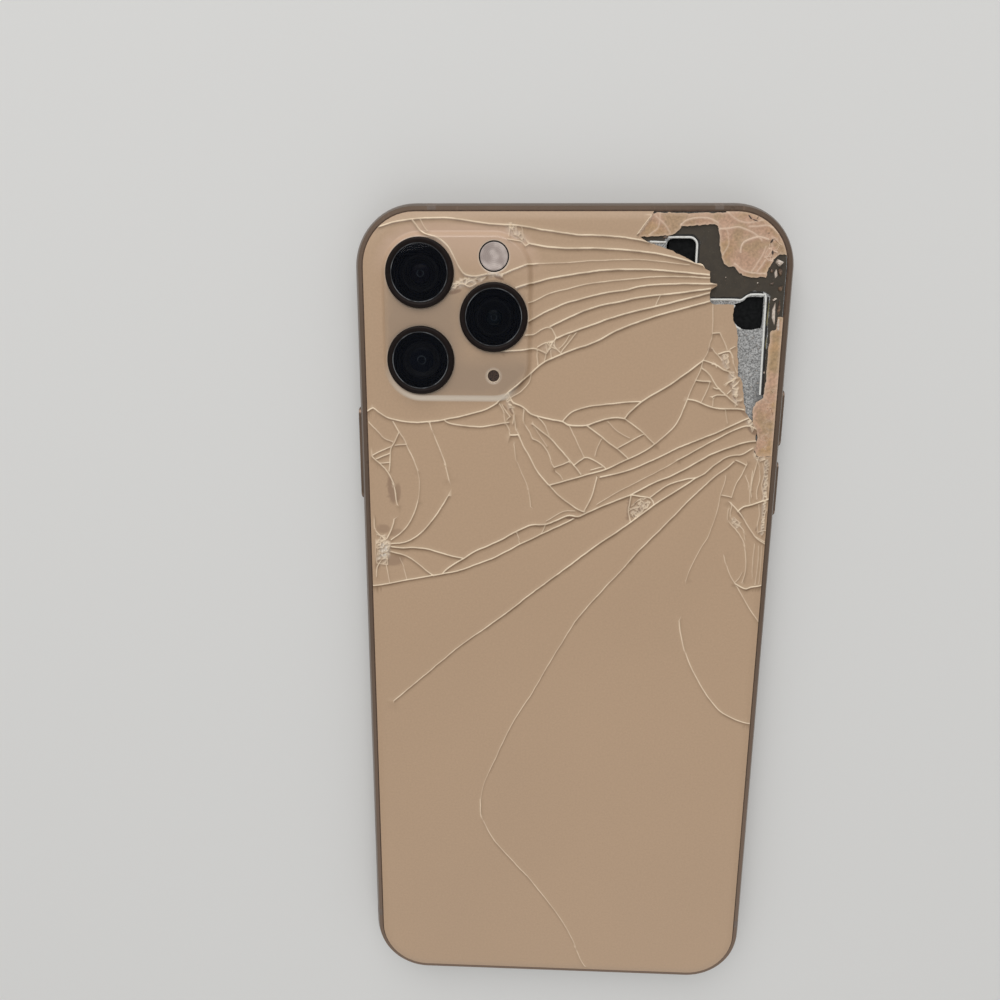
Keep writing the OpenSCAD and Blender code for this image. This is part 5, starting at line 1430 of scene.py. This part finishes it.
class PHONE_OT_layers(PhoneStep, bpy.types.Operator):
    """Spalled glass along the top right corner and the right side"""
    bl_idname = "phone.layers"
    bl_label = "Spalled layers"

    def make(self, scene):
        s = scene.phone_damage
        look = layer_look(s)
        made = []
        for node, loop, net, ridges, marks in (
                ("corner_remnant", CORNER_LAYER, ((34.2, 69.5), (35, 73), 1.4, 0.5), RIDGES, DARK_MARKS),
                ("edge_remnant", EDGE_LAYER, ((36, 36), (36.3, 47), 0.9, 0.12), (), ())):
            rng = np.random.default_rng(len(node))
            low, high = box_mm(node)
            sheet = Sheet(layer_height(low[2], high[2]), low[2] - 0.02, rng)
            edge = clip_to_glass(ragged(loop, 0.5, 0.06, rng, closed=True))
            sheet.outer(edge)
            for strength, points in ridges:
                sheet.crack(points, strength, 0.16, 0.05 * strength, step=0.4)
            for patch in marks:
                sheet.stain_and_shadow(*patch)
            start, end, radius, strength = net
            sheet.web(start, end, radius, 0.8, 0.0, strength)
            sheet.fill(low[0], low[1], high[0], high[1], 0.45)
            rim = np.vstack([edge, edge[:1]])
            sheet.extra["rim"] = lambda p, rim=rim: np.clip(1 - nearest_on(rim, p)[0] / 0.45, 0, 1)
            piece = sheet.build(node + "_flaked", [look, fracture_look()],
                                LAYER_MASKS, lift=0.05, slope=0.08)
            made += stand_in(piece, "spalled_glass", node)
        return made


LIP_W = 0.35                            # width of a pale lip
SHADOW_GAP = 0.32                         # width of the gap between a lip and the film, and of the dark line of painted shadow laid in it
LIP_Z, SHADOW_LINE_Z = 0.12, 0.05              # their heights
FILM_SINK, PLATE_SINK = 0.03, 0.02      # how far film and plate lie below the tops of their CAD nodes
RIPPLE = 0.02                           # height of their ripples
PLATEAU_CLEAR = 0.85                    # gap between the camera plateau and the sheets round it
COIL_CLEAR = 0.8                        # gap between the charging coil and the plate


def grown(box, grow):
    """A rounded rectangle moved out by a distance."""
    x0, y0, x1, y1, r = box
    return rounded_box(x0 - grow, y0 - grow, x1 + grow, y1 + grow, r + grow, turn=8)


def round_opening(grow):
    """A line round the upper and right sides of the first opening, a distance outside it."""
    corner = grown(OPENING_A, grow)[:9]
    return even(np.vstack([(corner[0][0], 66), corner, (15.9, corner[-1][1])]), 0.4)


def under_glass(node, gap, sink, rng, wave):
    """A rippled sheet under the glass, with rounder corners and open round the cameras."""
    low, high = box_mm(node)
    sheet = Sheet(lambda p: high[2] - sink + RIPPLE * wave(p), low[2], rng)
    sheet.outer(rounded_box(low[0], low[1], high[0], high[1], GLASS_CORNER - gap, turn=14))
    sheet.hole(plateau_ring(-PLATEAU_CLEAR - gap, turn=8, step=3.0))
    return sheet


class PHONE_OT_corner(PhoneStep, bpy.types.Operator):
    """Film, bare plate and pale lips laid open at the broken corner"""
    bl_idname = "phone.corner"
    bl_label = "Open corner"

    def make(self, scene):
        s = scene.phone_damage
        rng = np.random.default_rng(21)
        made = []
        plate = under_glass("mid_plate", 0.05, PLATE_SINK, rng,
                            lambda p: np.sin(p[:, 0] * 2.1) * np.sin(p[:, 1] * 1.3))
        plate.hole(circle((0, 0), disc_mm("charging_coil")[1] + COIL_CLEAR, 72))
        plate.hole(grown(OPENING_A, 0))
        plate.hole(smooth(OPENING_B + OPENING_B[:1], 0.4)[:-1])
        plate.fill(14, 30, 36, 75, 0.7)
        plate.extra["shadow"] = lambda p: (np.clip((p[:, 0] - 32.4) / 1.6, 0, 1)
                                           * np.clip((51 - p[:, 1]) / 3, 0, 1))
        piece = plate.build("mid_plate_bare", [plate_look(s)], ("tint", "shadow"), big=0)
        made += stand_in(piece, "bare_plate", "mid_plate")

        film = under_glass("bond_film", 0.15, FILM_SINK, rng,
                           lambda p: np.sin(p[:, 0] * 1.7 + np.sin(p[:, 1] * 2.3)))
        film.hole(ragged(grown(OPENING_A, LIP_W + SHADOW_GAP), 0.8, 0.04, rng, closed=True))
        film.hole(ragged(FILM_WINDOW, 0.7, 0.07, rng, closed=True))
        film.hole(ragged(FILM_TEAR, 0.5, 0.05, rng, closed=True))
        film.fill(12, 58, 37, 78, 0.8)
        piece = film.build("bond_film_torn", [film_look(s)], ("tint",), big=0)
        made += stand_in(piece, "film", "bond_film")

        lips = [round_opening(LIP_W / 2), smooth(FILM_LIP, 0.4), smooth(OPENING_LIP, 0.4),
                even([(13.2, 72.2), (15.9, 72.15)], 0.4)]
        foot = film.bottom
        piece = bead("opening_lips", lips, LIP_W, LIP_Z, foot, lip_look(s))
        made += stand_in(piece, "pale_trim", "opening_trims")
        # a near-black bead laid in the gap between the lips and the film: a painted shadow
        glue = [round_opening(LIP_W + SHADOW_GAP / 2), smooth(np.array(FILM_LIP[:6]) + (0, 0.35), 0.4),
                smooth(np.array(FILM_LIP[6:]) + (0.4, 0), 0.4)]
        piece = bead("gap_shadow_line", glue, SHADOW_GAP + 0.06, SHADOW_LINE_Z, foot,
                     mottled("glue", (0.006, 0.005, 0.004), (0.016, 0.013, 0.011), 2.5, rough=0.6))
        made += stand_in(piece, "film")
        return made


def lying(foot, *bits):
    """Bits as (x, y, length, width, turn, thickness), each with the height that it lies at."""
    return [(*bit[:5], foot, bit[5]) for bit in bits]


class PHONE_OT_debris(PhoneStep, bpy.types.Operator):
    """Loose bits of glass and glue lying in the broken corner"""
    bl_idname = "phone.debris"
    bl_label = "Loose bits"

    def make(self, scene):
        rng = np.random.default_rng(5)
        film = box_mm("bond_film")[1][2] - FILM_SINK
        plate = box_mm("mid_plate")[1][2]
        brown = lying(plate, (15.9, 73.0, 1.2, 0.5, 5, 0.2)) + lying(
            film, (34.5, 67.6, 1.2, 0.7, 70, 0.25), (35.9, 67.2, 1.4, 0.8, 95, 0.25),
            (34.6, 65.2, 1.0, 0.5, 30, 0.2), (36.2, 64.6, 1.6, 0.8, 85, 0.2),
            (36.2, 61.3, 2.6, 0.7, 88, 0.15), (34.2, 39.0, 0.7, 0.4, 40, 0.2))
        pale = lying(
            film, (35.7, 68.9, 1.6, 1.3, 60, 0.45), (35.2, 66.9, 1.5, 0.6, 92, 0.2),
            (32.2, 65.4, 0.35, 0.22, 40, 0.1), (26.6, 66.3, 0.3, 0.2, 10, 0.1),
            (35.3, 62.6, 0.9, 0.5, 20, 0.2), (35.4, 60.1, 4.6, 0.7, 91, 0.16),
            (36.3, 58.2, 2.6, 0.6, 90, 0.2), (34.5, 50, 0.5, 0.2, 85, 0.1))
        olive = lying(film, (34.35, 60.3, 4.6, 0.4, 90, 0.12), (34.4, 55.2, 2.4, 0.25, 88, 0.1))
        for bits, count, across, along, sizes, foot in (
                (pale, 26, (30.8, 33.8), (44, 56.5), (0.1, 0.25), plate),
                (brown, 14, (24.5, 33.5), (64.4, 66), (0.08, 0.2), film)):
            for _ in range(count):
                x, y, size = (rng.uniform(*span) for span in (across, along, sizes))
                bits += lying(foot, (x, y, size, size * 0.7, rng.uniform(0, 180), 0.08))
        made = []
        for name, spots, colour, other in (
                ("bits_brown", brown, (0.075, 0.045, 0.03), (0.19, 0.12, 0.075)),
                ("bits_pale", pale, (0.46, 0.37, 0.30), (0.66, 0.58, 0.50)),
                ("bits_olive", olive, (0.13, 0.115, 0.05), (0.22, 0.19, 0.10))):
            made += stand_in(chips(name, spots, chip_look(name, colour, other), rng), "spalled_glass")
        return made


# ---------------------------------------------------------------- cameras

class PHONE_OT_cameras(PhoneStep, bpy.types.Operator):
    """Trim rings, windows, lenses and baffles of the three rear cameras"""
    bl_idname = "phone.cameras"
    bl_label = "Rear cameras"

    def make(self, scene):
        s = scene.phone_cameras
        inner, middle, outer = 3.75, 4.15, 4.5      # radii of the steps under a window
        ring, dots, window, baffle = ring_look(s), dotted_look(), window_look(s), baffle_look()
        # a pale bluish stop ring in each lens, its paleness a painted reflection of the inner lens rims
        coated = mottled("lens_stop_glint", (0.03, 0.045, 0.06), (0.20, 0.25, 0.30), 1.1, rough=0.2)
        made = []

        def turn(part, profile, look, bevel, slot, *nodes, body=FIXED):
            made.extend(turned(f"{part}_{name}", at, profile, look, s.steps, bevel, slot, *nodes, body=body))

        for name, (colour, size, barrel) in CAMERAS.items():
            at, r, foot, top = disc_mm(f"camera_ring_{name}")
            _, pane, z, pane_top = disc_mm(f"camera_window_{name}")
            turn("trim_ring", joined((r - 1.25, foot), (r, foot), (r, top - 0.30), (r - 0.10, top - 0.10),
                                     (r - 0.30, top), (r - 0.62, top), (r - 0.90, top - 0.10),
                                     (pane + 0.02, top - 0.10), (pane + 0.02, z), (r - 1.25, z)),
                 ring, 0.06, "ring", f"camera_ring_{name}")
            turn("window", [(0, z), (pane, z), (pane, pane_top - 0.04), (pane - 0.06, pane_top),
                            (0, pane_top)], window, 0.02, "window", f"camera_window_{name}")
            turn("knurl", joined((pane - 0.16, pane_top), (pane - 0.02, pane_top),
                                 (pane - 0.04, pane_top + 0.03), (pane - 0.14, pane_top + 0.03)),
                 dots, 0.005, "ring")
            z -= 0.04
            turn("baffle", joined((r - 1.28, z), (r - 1.28, z - 0.5), (inner, z - 0.5), (inner, z - 0.28),
                                  (middle, z - 0.28), (middle, z - 0.12), (outer, z - 0.12), (outer, z)),
                 baffle, 0.02, "lens_plastic")

            # domed front lens, the stepped cone round it and its coated stop, a pale bluish ring that stands
            # in for glints off the inner lens rims: partly a real ring, partly painted reflection
            _, rim, _, z = disc_mm(f"lens_barrel_{name}")
            rim -= 0.05
            turn("cone", joined((size, z - 0.50), (size, z - 0.36), (size + 0.35, z - 0.36),
                                (size + 0.35, z - 0.20), (size + 0.7, z - 0.20), (size + 0.7, z - 0.06),
                                (rim, z + 0.02), (rim, z - 0.50)),
                 baffle, 0.015, "lens_plastic", body=barrel)
            angles = [math.pi / 2 * (i + 1) / 10 for i in range(9)]
            dome = [(size * math.cos(a), z - 0.42 + 0.36 * math.sin(a)) for a in angles]
            turn("lens", joined((size + 0.02, z - 0.52), *dome, (0, z - 0.06), (0, z - 0.52)),
                 lens_look(f"lens_{name}", colour), 0.005, "lens_plastic", body=barrel)
            far = size * 0.26
            turn("stop", joined((far, z - 0.075), (far + 0.22, z - 0.09), (far + 0.22, z - 0.07),
                                (far, z - 0.055)), coated, 0.005, "lens_plastic", body=barrel)
        return made


class PHONE_OT_flash(PhoneStep, bpy.types.Operator):
    """Flash window with its rings, and the rear microphone"""
    bl_idname = "phone.flash"
    bl_label = "Flash and microphone"

    def make(self, scene):
        steps = scene.phone_cameras.steps
        at, r, foot, top = disc_mm("flash_window")
        r -= 0.18
        profile = [(r, foot), (r, top - 0.12)]
        rings = 7
        for i in range(rings):
            far = (r - 0.25) * (rings - i) / rings
            profile += [(far, top - 0.04), (far - 0.08, top - 0.09)]
        profile += [(0, top - 0.05), (0, foot), (r, foot)]
        made = turned("flash_lens", at, profile, diffuser_look(), steps, 0.02, "diffuser", "flash_window")
        edge = joined((r + 0.02, foot), (r + 0.18, foot), (r + 0.18, top - 0.05), (r + 0.02, top - 0.05))
        made += turned("flash_gasket", at, edge, baffle_look(), steps, 0.02, "dark_plastic")

        at, r, foot, top = disc_mm("rear_mic_mesh")
        profile = [(0, foot), (r, foot), (r, top), (0, top - 0.06)]
        made += turned("rear_mic_screen", at, profile, mesh_look(), steps, 0.03, "mesh", "rear_mic_mesh")
        # pale ring round the microphone for the glass bevel there, made pale as a painted highlight
        edge = joined((r + 0.02, foot), (r + 0.25, foot), (r + 0.25, PLATEAU_Z - 0.02),
                      (r + 0.14, PLATEAU_Z + 0.02), (r + 0.02, PLATEAU_Z - 0.12))
        look = mottled("mic_rim_highlight", (0.50, 0.38, 0.28), (0.62, 0.50, 0.38), 1.5, rough=0.3)
        made += turned("rear_mic_rim", at, edge, look, steps, 0.02, "ring")
        return made


# ---------------------------------------------------------------- finishes of the CAD pieces

class PHONE_OT_band(PhoneStep, bpy.types.Operator):
    """Finish of the metal band, its plastic breaks, the keys and the tray"""
    bl_idname = "phone.band"
    bl_label = "Band and keys"

    def make(self, scene):
        s = scene.phone_band
        made = dress(band_look(s), "frame_top", "frame_left", "frame_right", "frame_bottom")
        made += dress(band_look(s, "keys", 0.6), "side_key", "volume_up_key", "volume_down_key",
                      "mute_lever", "card_tray", "bottom_screws")
        made += dress(mottled("break_plastic", (0.13, 0.097, 0.075), (0.17, 0.125, 0.10), 0.8, rough=0.45),
                      "antenna_breaks")
        made += dress(mottled("bead", (0.045, 0.022, 0.010), (0.085, 0.045, 0.022), 1.2, rough=0.55,
                              relief=0.4), "back_bezel")
        return made


class PHONE_OT_inside(PhoneStep, bpy.types.Operator):
    """Finish of the parts inside the case"""
    bl_idname = "phone.inside"
    bl_label = "Inner parts"

    def make(self, scene):
        made = dress(mottled("shield_steel", (0.50, 0.50, 0.51), (0.64, 0.64, 0.65), 1.2, rough=0.3,
                             metallic=0.9, stretch=(1, 0.08, 1)),
                     "camera_bracket", "board_shield", "card_reader", "radio_module", "sensor_bracket",
                     "haptic_housing", "display_shield")
        made += dress(mottled("pit_plastic", (0.003, 0.0033, 0.0036), (0.009, 0.0095, 0.010), 1.5, rough=0.6,
                              shine=0.08), "antenna_carrier")
        made += dress(mottled("inner_plastic", (0.010, 0.010, 0.011), (0.028, 0.028, 0.030), 2.5),
                      "display_bezel", "display_seal", "earpiece", "loudspeaker",
                      "microphone_block", "charging_socket", "side_switch", "right_switches")
        made += dress(mottled("lens_housing", (0.012, 0.012, 0.014), (0.035, 0.035, 0.038), 2.0, rough=0.4),
                      "front_camera", "infrared_camera", "dot_projector",
                      *(f"camera_module_{name}" for name in CAMERAS),
                      *(f"lens_barrel_{name}" for name in CAMERAS))
        made += dress(board_look(), "logic_board", "flash_module")
        made += dress(mottled("cell_wrap", (0.022, 0.023, 0.026), (0.05, 0.052, 0.056), 0.25, rough=0.45,
                              relief=0.5, depth=0.15), "battery")
        made += dress(coil_look(), "charging_coil")
        made += dress(mottled("ferrite", (0.05, 0.05, 0.055), (0.085, 0.085, 0.09), 1.6, rough=0.6),
                      "coil_ferrite")
        made += dress(mottled("tungsten", (0.20, 0.20, 0.21), (0.30, 0.30, 0.31), 1.8, rough=0.35,
                              metallic=0.9), "haptic_weight")
        made += dress(mesh_look(), "hole_meshes")
        return made


class PHONE_OT_screen(PhoneStep, bpy.types.Operator):
    """Finish of the plain, whole screen underneath"""
    bl_idname = "phone.screen"
    bl_label = "Screen"

    def make(self, scene):
        g = Graph("screen_glass")
        smudge = g.noise(0.07, 4.0, 0.6)
        base = g.mix((0.004, 0.004, 0.005), (0.012, 0.012, 0.014), smudge)
        look = g.finish(base_color=base, roughness=0.06 + smudge.ramp(0.5, 0.8) * 0.15, coat_weight=0.5)
        made = dress(look, "display_glass")
        made += dress(mottled("panel", (0.008, 0.008, 0.010), (0.02, 0.02, 0.024), 0.6, rough=0.3),
                      "display_panel")
        return made


# ---------------------------------------------------------------- stage

class PHONE_OT_stage(PhoneStep, bpy.types.Operator):
    """Floor, soft lamps, pale surroundings and the camera above"""
    bl_idname = "phone.stage"
    bl_label = "Stage"

    def make(self, scene):
        s = scene.phone_stage
        half = 1500
        floor = add_mesh("floor", [(-half, -half, 0), (half, -half, 0), (half, half, 0), (-half, half, 0)],
                         [[0, 1, 2, 3]], floor_look(s))
        for name, place, size, power in (("key", (-0.15, 0.95, 0.85), 1.2, s.key_power),
                                         ("fill", (0.1, -1.1, 0.85), 1.5, s.key_power * 0.35)):
            data = bpy.data.lights.new(name, "AREA")
            data.energy = power
            data.size = size
            lamp = bpy.data.objects.new(name, data)
            lamp.location = place
            lamp.rotation_euler = (-Vector(place)).to_track_quat("-Z", "Y").to_euler()
            scene.collection.objects.link(lamp)
        world = bpy.data.worlds.new("surroundings")
        world.use_nodes = True
        sky = world.node_tree.nodes["Background"]
        sky.inputs["Color"].default_value = (1.0, 0.99, 0.975, 1)
        sky.inputs["Strength"].default_value = s.sky
        scene.world = world
        scene.view_settings.view_transform = "Standard"

        data = bpy.data.cameras.new("above")
        data.sensor_width = 36.0
        data.lens = s.focal
        data.clip_start = 0.005
        camera = bpy.data.objects.new("above", data)
        eye, aim = Vector(s.eye), Vector(s.aim)
        ahead = (aim - eye).normalized()
        right = ahead.cross(Vector((0, 1, 0))).normalized()
        up = right.cross(ahead)
        up = up * math.cos(s.roll) - right * math.sin(s.roll)
        right = ahead.cross(up)
        camera.matrix_world = Matrix((
            (right.x, up.x, -ahead.x, eye.x), (right.y, up.y, -ahead.y, eye.y),
            (right.z, up.z, -ahead.z, eye.z), (0, 0, 0, 1)))
        scene.collection.objects.link(camera)
        scene.camera = camera
        return [floor]


# ---------------------------------------------------------------- panel and registration

SETTINGS = {"phone_glass": GlassSettings, "phone_damage": DamageSettings, "phone_cameras": CameraSettings,
            "phone_band": BandSettings, "phone_stage": StageSettings}
STEPS = (PHONE_OT_back_glass, PHONE_OT_layers, PHONE_OT_corner, PHONE_OT_debris, PHONE_OT_cameras,
         PHONE_OT_flash, PHONE_OT_band, PHONE_OT_inside, PHONE_OT_screen, PHONE_OT_stage)


class PHONE_PT_panel(bpy.types.Panel):
    """Settings and steps of the phone"""
    bl_idname = "PHONE_PT_panel"
    bl_label = "Shattered phone"
    bl_space_type = "VIEW_3D"
    bl_region_type = "UI"
    bl_category = "Phone"

    def draw(self, context):
        layout = self.layout
        for key, group in SETTINGS.items():
            box = layout.box()
            box.label(text=key.replace("phone_", "").title())
            for name in group.__annotations__:
                box.prop(getattr(context.scene, key), name)
        for step in STEPS:
            layout.operator(step.bl_idname)


def register():
    for cls in (*SETTINGS.values(), *STEPS, PHONE_PT_panel):
        bpy.utils.register_class(cls)
    for key, group in SETTINGS.items():
        setattr(bpy.types.Scene, key, PointerProperty(type=group))


def unregister():
    for key in SETTINGS:
        delattr(bpy.types.Scene, key)
    for cls in (PHONE_PT_panel, *reversed(STEPS), *SETTINGS.values()):
        bpy.utils.unregister_class(cls)


def main():
    register()
    for step in STEPS:
        group, name = step.bl_idname.split(".")
        if getattr(getattr(bpy.ops, group), name)() != {"FINISHED"}:
            raise RuntimeError(f"{step.bl_label} did not finish")


if __name__ == "__main__":
    main()
